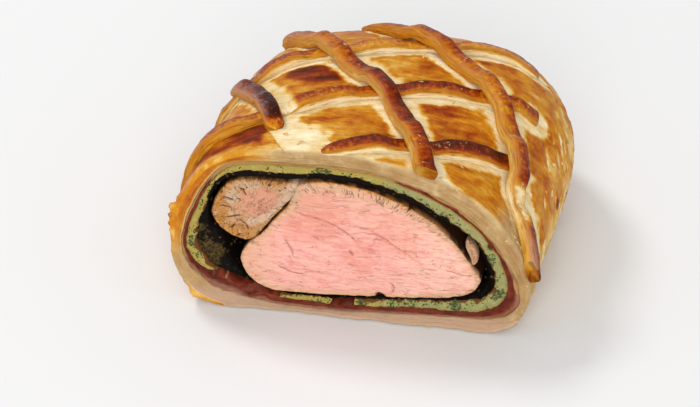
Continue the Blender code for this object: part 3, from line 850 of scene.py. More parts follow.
def skin_relief(places, skin, whole):
    """How far the skin stands out from the plain crust."""
    across, (_, y, z) = places[..., 0], np.moveaxis(skin, -1, 0)
    torn = 1.0 - whole
    relief = 0.40 * noise(skin, 16.0, 61) + 0.17 * noise(skin, 3.2, 62) - 0.15
    relief += 0.50 * whole + 0.14 * streaks(places, 63) * whole
    relief += torn * (0.5 * ledges(0.5 + 0.5 * streaks(places, 64), 3, 0.4) - 0.2)
    relief += 0.22 * torn * noise(places * np.array([0.4, 1.0]), 1.7, 65, 2)
    stepped = ledges(0.5 + 0.5 * flank_streaks(places, 42), 3, 0.3)
    relief += on_flank(places) * 0.8 * (stepped - 0.5)
    left = smooth((-across - 52.0) / 10.0)
    relief += left * 0.9 * (ledges(0.5 + 0.5 * streaks(places, 67), 3, 0.3) - 0.3)
    flap = smooth(1.5 - np.hypot((z - 33.0) / 7.0, (y - CUT_Y - 2.0) / 3.5))
    flap = flap * smooth((-across - 55.0) / 5.0)
    relief += flap * (1.1 + 1.5 * noise(skin, 2.6, 70))
    # The pastry lies flat under every strip that it carries.
    lines = np.vstack([line[::4] for strips in (UNDER_STRIPS, OVER_STRIPS)
                       for line in strip_lines(strips).values()])
    carrying = 1.0 - smooth((apart(places, lines)[0] - 3.4) / 2.0)
    return relief + carrying * (np.clip(relief, 0.0, 0.3) - relief)


def brim_on(skin):
    """How far the foot of the skin spreads over the board."""
    x, y, z = np.moveaxis(skin, -1, 0)
    brim = smooth(z / 0.8) * smooth((6.0 - z) / 4.5)
    lip = smooth((CUT_Y + 12.0 - y) / 9.0)
    low_left = smooth((-x - 38.0) / 8.0)
    ragged = 0.3 + 0.7 * noise(skin, 4.5, 66)
    ragged += lip * (0.2 + 1.6 * low_left + 1.0 * noise(skin, 2.8, 68))
    return brim * np.maximum(ragged, 0.0)


def sagged(points):
    """How far the crust's foot bulges out in front of the cut."""
    x, y, z = np.moveaxis(points, -1, 0)
    low = smooth((4.6 - z) / 3.4) * smooth((CUT_Y + 6.0 - y) / 5.0)
    bulge = 0.9 - 0.8 * smooth((x + 10.0) / 50.0)
    return low * np.maximum(bulge + 0.6 * noise(points * np.array([1.0, 0.3, 0.3]), 5.0, 55), 0.0)


def make_crust(material):
    shares = crust_shares()
    across = across_of(shares)
    angles = turn_of(ring_on_crust(CUT_Y, shares)[:, [0, 2]])
    inner = boundary(CRUST_TO_HAM, angles, SEAM, "ham")

    # Inside, from the back to the cut.
    steps = CUT_Y + (CRUST_TO_HAM_END_Y - CUT_Y) * np.sin(np.linspace(INNER_TURN, 0.0, INNER_ROWS))
    inside = np.array([layer_section(inner, y, CRUST_TO_HAM_END_Y) for y in steps[:-1]])

    # Over the cut wall, from the ham to the rounded edge.
    share = np.linspace(0.0, 1.0, WALL_ROWS)[:, None]
    rim = ring_on_crust(CUT_Y, shares, EDGE_ROUND)[:, [0, 2]]
    wall_at = spread(inner, rim, share)
    band = np.linalg.norm(rim - inner, axis=1)[None] * share
    girth = np.broadcast_to(shares * GIRTH, band.shape)
    layered = noise(np.stack([girth * 0.10, band * 0.9], -1), 1.0, 51)
    wall = on_cut(wall_at, 0.28 * layered + 0.12 * noise(wall_at, 1.6, 52)
                  + 0.30 * noise(wall_at, 9.0, 53))
    wall[0, :, 1] += 0.25

    # Round the edge and over the skin to the far tip.
    turns = np.linspace(0.0, math.pi / 2, EDGE_ROWS + 1)[1:-1]
    edge = np.array([ring_on_crust(CUT_Y + EDGE_ROUND * (1 - math.cos(a)), shares,
                                   EDGE_ROUND * (1 - math.sin(a))) for a in turns])
    skin_y = skin_steps(SKIN_ROWS, CUT_Y + EDGE_ROUND)
    skin = np.concatenate([edge, [ring_on_crust(y, shares) for y in skin_y]])
    outer_y = np.concatenate([edge[:, 0, 1], skin_y])
    places = np.stack(np.broadcast_arrays(across[None], outer_y[:, None]), -1).astype(float)
    baked, whole = browning_on(places, skin[..., [0, 2]], glaze_on(places))
    normal = normals_of(skin)
    sideways = unit(normal * np.array([1.0, 1.0, 0.0]), 0.35)
    off_base = smooth((skin[..., 2] - 0.5) / 3.0)
    far = smooth((CRUST_END_Y - skin[..., 1]) / 6.0)
    outer = skin + normal * (skin_relief(places, skin, whole) * off_base * far)[..., None]
    outer = outer + sideways * (brim_on(skin) * far)[..., None]
    outer[..., 1] = np.maximum(outer[..., 1], CUT_Y - 0.2)
    outer[..., 2] = np.maximum(outer[..., 2], 0.0)
    outer[..., 1] -= sagged(outer)
    wall[..., 1] -= sagged(wall)
    wall[-1] = (wall[-2] + outer[0]) / 2
    grid = np.concatenate([inside, wall, outer])

    def marked(at_inside, on_wall, on_skin):
        return np.concatenate([np.full(inside.shape[:2], at_inside),
                               np.broadcast_to(on_wall, wall.shape[:2]), on_skin])

    # The cut wall is dough: browned towards the skin at the upper left, plain elsewhere.
    _, y, z = np.moveaxis(outer, -1, 0)
    upper_left = smooth((-angles_from(angles, (-54, 50)) + 0.62) / 0.30)
    near_cut = smooth(1.0 - (y - CUT_Y) / 2.5)
    moist = smooth((places[..., 0] - 60.0) / 8.0) * smooth((CUT_Y + 13.0 - places[..., 1]) / 7.0)
    raw = near_cut * (1 - upper_left) * (1 - smooth((9.0 - z) / 4.0))
    brimmed = smooth((10.0 - z) / 6.0) * smooth((CUT_Y + 30.0 - y) / 20.0)
    loose = 0.25 + 0.5 * on_flank(places) + 0.3 * noise(outer, 8.0, 69) + 0.5 * brimmed
    loose = (1.0 - whole) * np.clip(loose, 0, 1)
    marks = {
        "baked": marked(0.1, smooth(share * 2.5) * upper_left * 0.44 + 0.12 + 0.10 * layered,
                        baked),
        "dough": marked(1.0, 1.0 - 0.92 * smooth(share * 3.0) * upper_left,
                        np.maximum(raw, 0.85 * moist)),
        "glaze": marked(0.0, 0.0, whole),
        "flaky": marked(0.0, 0.0, loose * off_base * far),
        "tip": marked(0.0, 0.0, smooth((y - FAR_END_FROM) / 12.0)),
    }
    u = np.append(shares, 1.0) * GIRTH
    v = np.concatenate([np.linspace(-30.0, -6.0, len(inside)), np.linspace(-5.0, 0.0, WALL_ROWS),
                        outer_y - CUT_Y])
    piece = tube("baked_crust", grid, u, v, marks, tip_at(CRUST_TO_HAM_END_Y),
                 tip_at(CRUST_END_Y, 0.0))
    return set_on(piece, material, "pastry", "crust")


def pastry_paint():
    paint = Paint("baked_pastry")
    glaze, tip = paint.mark("glaze"), paint.mark("tip")
    cloud = paint.grain(5.0, 4.0)
    fleck = paint.grain(0.8, 4.0)
    fine = paint.grain(1.8, 5.0, paint.sheet(0.30, 1.2)) * (1.0 - tip)
    fine = fine + paint.grain(2.2, 5.0, bend=0.4) * tip
    streak = paint.grain(1.1, 3.0, paint.sheet(0.13, 1.0)) * (1.0 - tip)
    blotch = paint.grain(2.7, 4.0, bend=0.6)
    baked = (paint.mark("baked") + fine * 0.22 + cloud * 0.26 + fleck * 0.16 + streak * 0.13
             + blotch * 0.22 * glaze)
    bubbles = paint.rise(paint.grain(1.7, 2.0) + cloud * 0.5, 0.27, 0.36) * glaze
    crust = paint.mix(bubbles * 0.6, paint.ramp(baked, BAKED), BUBBLE)
    lines = paint.grain(0.8, 3.0, paint.sheet(0.10, 1.0)) * (1.0 - tip)
    height = paint.node("ShaderNodeSeparateXYZ", {0: paint.place}, "Z")
    dough = paint.over(DOUGH_DARK, DOUGH, lines * 0.6 + paint.grain(7.0) * 1.2, -0.35, 0.2)
    dough = paint.over(dough, DOUGH_LIGHT, lines * 0.7 + fleck * 0.3 + cloud * 0.8, -0.05, 0.5)
    dough = paint.over(dough, DOUGH_RAW, blotch * 0.9 + cloud * 1.1 + lines * 0.3, 0.06, 0.34,
                       0.6)
    dough = paint.over(dough, DOUGH_WET, height + cloud * 0.004, 0.010, 0.003)
    colour = paint.mix(paint.mark("dough"), crust, dough)
    rough = paint.mapped(glaze + fine * 0.6, 0.1, 0.9, 0.62, 0.34)
    relief = (fine * 0.9 + fleck * 0.4 + paint.grain(0.35, 2.0) * 0.25 + bubbles * 0.3
              + streak * 0.8)
    return paint.finish(colour, rough, 0.10, relief, 0.50, soft=(0.03, 0.0012))


# ---------------------------------------------------------------------------------------------
# Lattice strips: each is swept along its line on the crust by one node tree.

STRIP_STEP = 0.55              # between the rings of a strip
STRIP_AROUND = 44              # points round each ring
SUNK = 0.35                    # how far a strip's foot is baked into the crust
STRIP_WAVES = 0.06             # how uneven a strip's width and height are
OVER_GAP = 0.2                 # between two strips where they cross
END_ROUND = 2.4                # over which a strip's own end rounds off
POINTED = {"strip_under_front": 8.0, "strip_over_left": 14.0}    # the same at a narrow first end
# What is left off a strip's two ends.
TRIMMED = {"strip_under_front": (30.0, 0.0), "strip_over_left": (0.0, 5.0)}
# A last end that is pressed flat: over what length, to what share of its height, how low it lies.
PRESSED_END = {"strip_over_left": (9.0, 0.42, 0.6)}
# A dent, as where a strip is torn off and smeared: its share of the length, reach and depth.
DENTED = {"strip_under_middle": (0.375, 0.022, 0.65), "strip_over_right": (0.755, 0.018, 0.30)}
# From where a strip is narrower, over what share of its length, and by how much.
NARROWED = {"strip_over_right": (0.72, 0.05, 0.14)}
# Browning along each strip: (share of its length, how baked its top is).
STRIP_BAKE = {
    "strip_under_front": [(0, 0.55), (0.08, 0.72), (0.3, 0.82), (0.42, 0.68), (0.6, 0.86),
                          (0.9, 0.84), (1, 0.68)],
    "strip_under_middle": [(0, 0.62), (0.2, 0.66), (0.32, 0.54), (0.355, 0.40), (0.37, 0.10),
                           (0.395, 0.12), (0.41, 0.66), (0.55, 0.62), (0.64, 0.76), (0.8, 0.70),
                           (0.88, 0.60), (1, 0.6)],
    "strip_under_rear": [(0, 0.66), (0.3, 0.70), (0.42, 0.42), (0.55, 0.55), (0.8, 0.52),
                         (1, 0.66)],
    "strip_under_end": [(0, 0.55), (0.5, 0.58), (1, 0.52)],
    "strip_over_left": [(0, 0.50), (0.15, 0.62), (0.35, 0.80), (0.62, 0.84), (0.72, 1.0),
                        (0.93, 1.0), (0.965, 0.62), (1, 0.42)],
    "strip_over_middle": [(0, 0.70), (0.2, 0.72), (0.4, 0.62), (0.5, 0.66), (0.62, 0.78),
                          (0.75, 0.80), (0.83, 0.66), (0.92, 0.78), (1, 0.75)],
    "strip_over_right": [(0, 0.66), (0.15, 0.74), (0.3, 0.66), (0.52, 0.56), (0.62, 0.66),
                         (0.705, 0.74), (0.73, 0.16), (0.78, 0.26), (0.81, 0.76), (0.95, 0.72),
                         (1, 0.45)],
}
# The same for the foot of its left or front wall; the other wall is darker by FAR_WALL, in part
# browner and in part painted shade.
STRIP_WALLS = {
    "strip_under_front": [(0, 0.10), (1, 0.05)],
    "strip_under_middle": [(0, 0.40), (0.31, 0.44), (0.37, 0.12), (0.5, 0.05), (1, 0.12)],
    "strip_under_rear": [(0, 0.30), (0.2, 0.24), (0.32, 0.10), (0.6, 0.05), (1, 0.12)],
    "strip_under_end": [(0, 0.15), (1, 0.15)],
    "strip_over_left": [(0, 0.36), (0.6, 0.46), (1, 0.46)],
    "strip_over_middle": [(0, 0.48), (0.3, 0.42), (0.55, 0.30), (0.8, 0.33), (0.94, 0.38),
                          (1, 0.54)],
    "strip_over_right": [(0, 0.50), (0.3, 0.44), (0.6, 0.36), (0.69, 0.34), (0.74, 0.12),
                         (0.82, 0.34), (0.94, 0.44), (1, 0.54)],
}
# How much painted greyish-pink sheen, standing in for light reflected off the glaze, a strip's left
# edge and top show, and those of the others.
LITTLE_PAINTED_SHEEN = [(0, 0.12), (1, 0.12)]
STRIP_PAINTED_SHEEN = {
    "strip_over_left": [(0, 1.0), (0.22, 0.9), (0.4, 0.55), (0.9, 0.45), (1, 0.0)],
    "strip_over_right": [(0, 0.2), (0.5, 0.25), (0.80, 0.3), (0.86, 0.65), (1, 0.5)],
    "strip_over_middle": [(0, 0.35), (0.5, 0.3), (1, 0.2)],
}
FAR_WALL = 0.16
CROWN_EDGE = {"over": 0.86, "under": 0.83}    # share of a strip's height where its glaze begins
FRONT_EDGE = {"over": 0.66, "under": 0.64}    # how far to its left or front side its dark top goes
SQUARENESS = {"over": 0.74, "under": 0.60}    # power of a ring's curve: 1 is round, 0 square


SHEET_ACROSS = (-112.0, 130.0)
SHEET_Y = (-78.0, 44.0)        # of its evenly spaced rows
SHEET_END_ROWS = 40            # beyond them, where the crust closes in


class Sheet:
    """The crust's skin as a rolled-out sheet: where each place (across, y) on it lies."""

    def __init__(self):
        self.y = np.concatenate([np.arange(*SHEET_Y), skin_steps(SHEET_END_ROWS, SHEET_Y[1])])
        self.across = np.arange(*SHEET_ACROSS)
        shares = CROWN_AT - self.across / GIRTH
        self.points = np.array([ring_on_crust(y, shares % 1.0) for y in self.y])
        back = np.gradient(self.points, self.y, axis=0)
        self.normals = unit(np.cross(np.gradient(self.points, axis=1), back))

    def look(self, table, places):
        """Reads the points or the normals at places between those of the sheet."""
        row = np.interp(places[:, 1], self.y, np.arange(len(self.y)))
        column = np.interp(places[:, 0], self.across, np.arange(len(self.across)))
        i = np.minimum(row.astype(int), len(self.y) - 2)
        j = np.minimum(column.astype(int), len(self.across) - 2)
        a, b = (row - i)[:, None], (column - j)[:, None]
        return ((1 - a) * (1 - b) * table[i, j] + (1 - a) * b * table[i, j + 1]
                + a * (1 - b) * table[i + 1, j] + a * b * table[i + 1, j + 1])


def near_crossing(places, others):
    """1 where another strip's line passes, 0 well away from every other strip."""
    away = np.min([apart(places, line)[0] for line in others], axis=0)
    return 1.0 - smooth((away - CROSS_REACH) / CROSS_RAMP)


def strip_tree():
    """Sweeps a strip's rings: each point of the flat grid that it starts from knows its line's
    point, the directions to its side and up, and how far round the ring it is."""
    plan, inputs = start_tree(
        "pastry_strip", ("Squareness", "Float", 0.56), ("Layer Depth", "Float", 0.50),
        ("Layer Count", "Float", 5.0), ("Blister Height", "Float", 0.34),
        ("Blister Size", "Float", 4.2), ("Seed", "Float", 0.0))

    def squared(value):
        size = plan.math("POWER", plan.math("ABSOLUTE", value), inputs["Squareness"])
        return plan.math("SIGN", value) * size

    def cloud(x, y, size, detail=3.0):
        where = plan.node("ShaderNodeCombineXYZ", {0: x, 1: y, 2: inputs["Seed"]})
        return plan.node("ShaderNodeTexNoise", {"Vector": where, "Scale": 1.0 / size,
                         "Detail": detail}) - 0.5

    turn, run = plan.field("round"), plan.field("run")
    side = squared(plan.math("COSINE", turn))
    rise = (squared(plan.math("SINE", turn)) + 1.0) * 0.5
    wall = plan.rise(plan.math("ABSOLUTE", side), 0.55, 0.95)
    above = plan.rise(rise, 0.7, 0.95)
    layers = cloud(run * 0.10, rise * inputs["Layer Count"] + side * 3.0, 0.8)
    blisters = cloud(run, side * 3.5, 1.0)
    lumps = cloud(run, side * 3.7, inputs["Blister Size"], 2.0)
    out = side * plan.field("half") + side * wall * (layers * inputs["Layer Depth"] * 2.0)
    foot = plan.rise(rise, 0.30, 0.0)
    waist = 1.0 - 0.08 * wall * plan.math("SINE", rise * math.pi) + foot * 0.14
    up = plan.field("lift") + rise * plan.field("height")
    up = up + above * (lumps * inputs["Blister Height"] * 2.0 + blisters * 0.22)
    offset = plan.vector("ADD", plan.scaled(plan.field("side", "FLOAT_VECTOR"), out * waist),
                         plan.scaled(plan.field("up", "FLOAT_VECTOR"), up))
    moved = plan.node("GeometryNodeSetPosition", {"Geometry": inputs["Geometry"],
                      "Offset": plan.scaled(offset, MM)})
    for name, value in (("rise", rise), ("facing", side)):
        moved = plan.node("GeometryNodeStoreNamedAttribute", {"Geometry": moved, "Name": name,
                          "Value": value}, data_type="FLOAT", domain="POINT")
    return end_tree(plan, moved, inputs["Finish"])


def grow(piece, tree, **inputs):
    """Runs a node tree on a piece and keeps the result as its plain mesh."""
    modifier = piece.modifiers.new("grow", "NODES")
    modifier.node_group = tree
    sockets = {item.name: item.identifier for item in tree.interface.items_tree
               if item.in_out == "INPUT"}
    for title, value in inputs.items():
        modifier[sockets[title.replace("_", " ")]] = value
    evaluated = piece.evaluated_get(bpy.context.evaluated_depsgraph_get())
    made = bpy.data.meshes.new_from_object(evaluated)
    piece.modifiers.remove(modifier)
    piece.data = made


def make_strip(name, corners, others, over, sheet, tree, material, seed):
    """Draws a strip's rings flat on its line and lets the tree sweep them."""
    line = curve(corners, closed=False)
    length = along(line)
    first, last = TRIMMED.get(name, (0.0, 0.0))
    run = np.arange(first, length[-1] - last, STRIP_STEP)
    places = read_at(run, length, line)
    run = run - first
    left = run[-1] - run
    share = run / run[-1]
    points = sheet.look(sheet.points, places)
    up = unit(sheet.look(sheet.normals, places))
    side = unit(np.cross(np.gradient(points, axis=0), up))

    def wander(size, layer):
        where = np.column_stack([run, run * 0, run * 0 + layer])
        return 1 + STRIP_WAVES * noise(where, size, seed)

    near = near_crossing(places, others)
    half = STRIP_WIDTH / 2 * wander(14.0, 0)
    to_thin = run / FAR_THINNING if over else np.minimum(run, left) / THINNING_LENGTH
    thin = THINNED + (1 - THINNED) * smooth(to_thin)
    if over:
        height = OVER_HEIGHT * thin
        lift = near * (PRESSED_HEIGHT + OVER_GAP)
    else:
        pressed = UNDER_HEIGHT + (PRESSED_HEIGHT - UNDER_HEIGHT) * near
        height = np.minimum(UNDER_HEIGHT * thin, pressed)
        lift = np.zeros(len(run))
    height = height * wander(9.0, 9)
    if name in PRESSED_END:
        over_length, flattened, lowered = PRESSED_END[name]
        height = height * (flattened + (1 - flattened) * smooth(left / over_length))
        lift = lift * lowered
    if name in DENTED:
        middle, width, depth = DENTED[name]
        height = height * (1 - depth * np.exp(-((share - middle) / width) ** 2))
    if name in NARROWED:
        start, length_share, less = NARROWED[name]
        half = half * (1 - less * smooth((share - start) / length_share))
    near_end = np.minimum(run / POINTED.get(name, END_ROUND), left / END_ROUND)
    rounded = np.maximum(np.sqrt(1.0 - (1.0 - np.clip(near_end, 0.0, 1.0)) ** 2), 0.02)

    values = {"run": run, "half": half * rounded, "lift": lift,
              "height": (height + SUNK) * (0.25 + 0.75 * rounded)}
    for title, table in (("baked", STRIP_BAKE[name]), ("wall", STRIP_WALLS[name]),
                         ("dull", STRIP_PAINTED_SHEEN.get(name, LITTLE_PAINTED_SHEEN))):
        values[title] = np.interp(share, *zip(*table))
    wide = {title: np.repeat(value, STRIP_AROUND) for title, value in values.items()}
    wide["round"] = np.tile(np.linspace(0.0, 2 * math.pi, STRIP_AROUND, endpoint=False), len(run))
    grid = np.repeat(points - up * SUNK, STRIP_AROUND, 0)
    last_ring = (len(run) - 1) * STRIP_AROUND
    faces = [*grid_faces(len(run), STRIP_AROUND, True), range(STRIP_AROUND),
             range(last_ring, last_ring + STRIP_AROUND)]
    flat = grid_corners(np.linspace(0.0, 2 * STRIP_WIDTH + 2 * OVER_HEIGHT, STRIP_AROUND + 1), run)
    caps = np.zeros((2 * STRIP_AROUND, 2))
    piece = new_piece("glazed_" + name, grid, faces, np.vstack([flat, caps]), wide)
    for title, arrows in (("side", side), ("up", up)):
        made = piece.data.attributes.new(title, "FLOAT_VECTOR", "POINT")
        made.data.foreach_set("vector", np.repeat(arrows, STRIP_AROUND, 0).ravel())
    grow(piece, tree, Seed=float(seed), Finish=material,
         Squareness=SQUARENESS["over" if over else "under"])
    close_up(piece, cut=True)
    set_on(piece, None, "glazed_strip", name)


def strip_paint(kind):
    paint = Paint("glazed_strip_" + kind)
    edge, front = CROWN_EDGE[kind], FRONT_EDGE[kind]
    rise, facing = paint.mark("rise"), paint.mark("facing")
    run = paint.grain(1.0, 3.0, paint.sheet(1.8, 0.13))
    ripple = paint.grain(1.5, 3.0, paint.sheet(0.30, 1.0))
    cloud = paint.grain(4.5, 3.0)
    blot = paint.grain(2.0, 4.0, bend=0.8)
    fleck = paint.grain(0.7, 3.0)
    top = paint.rise(rise + cloud * 0.14 + run * 0.12 + ripple * 0.08, edge - 0.06, edge + 0.05)
    top = top * (1.0 - 0.85 * paint.rise(facing + ripple * 0.7 + cloud * 0.8 + blot * 0.5,
                                         front - 0.30, front + 0.34))
    # The right or back wall is made darker by FAR_WALL: in part browning, in part painted shade on
    # the side away from the light.
    foot = paint.mark("wall") + paint.rise(facing, 0.5, -0.5) * FAR_WALL
    layer = paint.rise(run, 0.08, 0.20)
    wall = foot + run * 0.30 + layer * 0.14 + cloud * 0.16
    wall = wall + (0.47 - foot) * paint.rise(rise + blot * 0.3, edge - 0.40, edge + 0.04) * 0.95
    # - facing: the top's right or back side darker and its left or front side lighter, in part
    #   browning, in part painted shade and light.
    crown = (paint.mark("baked") + blot * 0.50 + ripple * 0.40 + cloud * 0.30 + fleck * 0.14
             - facing * 0.14)
    baked = wall + (crown - wall) * top
    bubbles = paint.rise(paint.grain(1.5, 3.0, bend=0.4) + cloud * 0.9, 0.20, 0.30) * top
    colour = paint.mix(bubbles * 0.7, paint.ramp(baked, BAKED), BUBBLE)
    # Painted sheen: greyish-pink colour on the left side and top, standing in for light reflected
    # off the glaze.
    dull = paint.mark("dull") * paint.rise(rise, 0.3, 0.8)
    dull = dull * paint.rise(dull * 0.9 + facing * 0.55 + blot * 1.6 + ripple * 0.5, 0.35, 0.95)
    colour = paint.mix(dull * 0.8, colour, PAINTED_SHEEN)
    rough = paint.mapped(top + fleck, 0.0, 1.0, 0.60, 0.22)
    relief = (run * (1.4 - top) + fleck * 0.35 + blot * 0.45 + bubbles * 0.4 - layer * 0.5
              + ripple * top * 0.5)
    return paint.finish(colour, rough, 0.09, relief, 0.50, soft=(0.02, 0.0010))


# ---------------------------------------------------------------------------------------------
# The layers round the beef.

LAYER_COLUMNS = 620
BACK_ROWS = 7                  # behind the cut face, on each side of a layer
BACK_TURN = 1.42               # radians of the quarter turn that those take to the tip
BACK_STEPS = np.sin(np.linspace(0.0, BACK_TURN, BACK_ROWS))
CUT_FACE_DEPTH = 9.0           # how far behind the cut the first of them lies
SCATTERED = ("herbs", "crumbs")     # values that place small loose things, on the cut only
LEDGE_SHARE = 0.6              # of the way from the crepe to the beef, in the duxelles
HAM_FOLDED = ((-43.0, 8.0), 17.0)   # where the ham lies in folds: spot, reach
HAM_FAT_BITS = [(-43.7, 11.6), (-34.7, 8.6)]
CREPE_BREAK = (46.9, 35.4)
HERB_BUNCHES = [(-54.9, 25.6), (3.4, 7.4), (35.3, 9.5), (46.1, 29.6), (50.0, 17.0), (-10.0, 59.2)]


def layer_angles():
    """Directions of points that lie at equal distances round the crepe."""
    return turn_of(evenly(curve(HAM_TO_CREPE), LAYER_COLUMNS, closed=True))


def back_rows(outline, end):
    """An outline's rings from behind the cut face to the layer's own end."""
    near = CUT_Y + CUT_FACE_DEPTH
    return np.array([layer_section(outline, near + (end - near) * step, end)
                     for step in BACK_STEPS])


def make_layer(name, outside, outer_end, inside, inner_end, rows, depth, values, keep=None):
    """A layer between two outlines on the cut.

    depth(spots, share) gives how far its cut face lies behind the cut, values(spots, share) what
    its material reads.  keep picks the columns of a layer that doesn't go all the way round."""
    share = np.linspace(0.0, 1.0, rows)[:, None]
    spots = spread(outside, inside, share)
    grid = np.concatenate([back_rows(outside, outer_end)[::-1], on_cut(spots, depth(spots, share)),
                           back_rows(inside, inner_end)])
    marks = {}
    for title, value in values(spots, share).items():
        value = np.broadcast_to(value, spots.shape[:-1])
        behind = 0.0 if title in SCATTERED else 1.0
        marks[title] = np.concatenate([np.repeat(value[:1], BACK_ROWS, 0) * behind, value,
                                       np.repeat(value[-1:], BACK_ROWS, 0) * behind])
    u, v = along(looped(outside)), along(grid[:, 0])
    if keep is None:
        return tube(name, grid, u, v, marks, tip_at(outer_end), tip_at(inner_end))
    # Columns become rings round the sheet's thickness, which closes on itself at the back.
    loops = grid[:, keep].transpose(1, 0, 2)
    marks = {title: value[:, keep].T.ravel() for title, value in marks.items()}
    count, around = loops.shape[:2]
    faces = list(grid_faces(count, around, True))
    flat = grid_corners(np.append(v, v[-1] + 1.0), u[:count])
    half = around // 2
    ends = []
    for start in (0, (count - 1) * around):
        for near in range(start, start + half - 1):
            far = 2 * start + around - 1 - near
            ends.append((near, near + 1, far - 1, far))
        if around % 2:
            ends.append((start + half - 1, start + half, start + half + 1))
    patches = np.zeros((sum(len(face) for face in ends), 2))
    piece = new_piece(name, loops.reshape(-1, 3), faces + ends, np.vstack([flat, patches]), marks)
    close_up(piece)
    return piece


def kept_columns(angles, edges):
    """Columns from the first edge round by +X or -X to the second, in the outline's order."""
    first, last = (int(np.argmin(angles_from(angles, edge))) for edge in edges)
    count = (last - first) % len(angles) + 1
    return (first + np.arange(count)) % len(angles)


def pillow(share, edge):
    """1 at a layer's two edges, 0 over its middle."""
    return 1.0 - smooth(np.minimum(share, 1.0 - share) / edge)


def away_from(spots, spot, reach_x=1.0, reach_z=1.0):
    """Distance from a spot on the cut, in units that may differ between x and z."""
    return np.linalg.norm((spots - np.array(spot)) / np.array([reach_x, reach_z]), axis=-1)


def near_spot(spots, spot, size):
    """1 at a spot on the cut, fading to 0 at `size` from it."""
    return smooth(1.4 - away_from(spots, spot) / size)


def folds(spots, share):
    """Unevenness in bands that run along the ham."""
    x, z = spots[..., 0], spots[..., 1]
    return noise(np.stack([x * 0.20, z * 0.20, share * 4.0 + 0 * x], -1), 1.0, 71)


def ham_depth(spots, share):
    folded = near_spot(spots, *HAM_FOLDED)
    return (0.35 + (0.5 + 1.3 * folded) * folds(spots, share) + 0.25 * noise(spots, 1.4, 72)
            + 0.6 * folded)


def ham_values(spots, share):
    x, z = spots[..., 0], spots[..., 1]
    over = smooth((z - 44.0) / 8.0) * smooth((20.0 - x) / 12.0) * smooth((x + 52.0) / 10.0)
    sides = smooth((np.abs(x) - 12.0) / 10.0) * smooth((z - 14.0) / 8.0)
    outside = smooth((0.38 + 0.18 * noise(spots, 5.0, 73) - share) / 0.25)
    fat = smooth((-folds(spots, share) - 0.05) / 0.45)
    bits = sum(near_spot(spots, spot, 1.6) for spot in HAM_FAT_BITS)
    bits = bits * smooth(0.7 + 1.1 * noise(spots, 1.1, 58))
    return {"fat": fat * (0.10 + 0.25 * near_spot(spots, *HAM_FOLDED)) + 0.55 * bits,
            "veiled": np.maximum(over, sides * outside), "depth": share}


def crepe_depth(spots, share):
    return (0.10 + 0.42 * noise(spots, 1.7, 74, 4) + 0.55 * pillow(share, 0.25)
            + 0.4 * noise(spots, 7.0, 75) + 1.8 * near_spot(spots, CREPE_BREAK, 1.2))


def crepe_values(spots, share):
    browned_and_shaded = smooth((share - 0.82 + 0.30 * noise(spots, 2.0, 76)) / 0.14)
    # At the break the crepe is painted dark as shade in its notch, through the same value as its
    # browned inner edge.
    browned_and_shaded = np.maximum(browned_and_shaded, 1.2 * near_spot(spots, CREPE_BREAK, 1.3))
    bunched = sum(near_spot(spots, spot, 2.4) for spot in HERB_BUNCHES)
    wild = smooth(0.80 * share - 0.20 + bunched + 0.9 * noise(spots, 2.6, 79))
    return {"green": smooth((spots[..., 0] + 5.0) / 30.0), "browned_and_shaded": browned_and_shaded,
            "golden": pillow(share + 0.08 * noise(spots, 2.0, 80), 0.20),
            "herbs_near": wild + bunched, "herbs": wild * (1 - browned_and_shaded)}


def duxelles_depth(angles):
    turns = [float(turn_of(spot)) for spot, *_ in DUXELLES_FRONT]
    crepe, ledge, beef = (np.interp(angles, turns, [row[k] for row in DUXELLES_FRONT],
                                    period=2 * math.pi) for k in (1, 2, 3))

    def depth(spots, share):
        at = np.where(share < LEDGE_SHARE, between(0.0, LEDGE_SHARE, share, crepe, ledge),
                      between(LEDGE_SHARE, 1.0, share, ledge, beef))
        return at * 0.9 + 0.5 * noise(spots, 2.2, 77) + 0.3 * noise(spots, 0.9, 78)

    return depth


def duxelles_values(spots, share):
    lower_left = smooth(1.7 - away_from(spots, (-50.4, 19.6), 4.6, 5.2)
                        + 0.5 * noise(spots, 2.4, 89))
    flakes = near_spot(spots, (-52.3, 30.5), 2.0)
    at_crepe = smooth((-spots[..., 0] - 44.0) / 4.0) * smooth((0.22 - share) / 0.2)
    return {"crumbly": np.maximum(lower_left, np.maximum(flakes, 0.6 * at_crepe)) + 0.05,
            "crumbs": 0.04 + 0.9 * np.maximum(lower_left, flakes)}


def ham_paint():
    paint = Paint("cured_ham")
    vein = paint.grain(2.4, 4.0, bend=1.2)
    cloud = paint.grain(5.0, 3.0)
    fat = paint.rise(paint.mark("fat") + vein * 0.8, 0.40, 0.80)
    lean = paint.over(HAM_DARK, HAM_RED, paint.grain(3.0, 4.0) + cloud * 0.6, -0.25, 0.3)
    lean = paint.over(lean, HAM_PALE, paint.mark("depth") + cloud * 0.5, 0.46, 0.10, 0.45)
    colour = paint.mix(fat * 0.8, lean, HAM_FAT)
    colour = paint.over(colour, HAM_VEILED, paint.mark("veiled") + cloud * 0.6, 0.2, 0.6)
    relief = paint.grain(0.7, 3.0) * 0.6 + vein * 0.6
    return paint.finish(colour, 0.36, 0.13, relief, 0.35, soft=(0.04, 0.002))


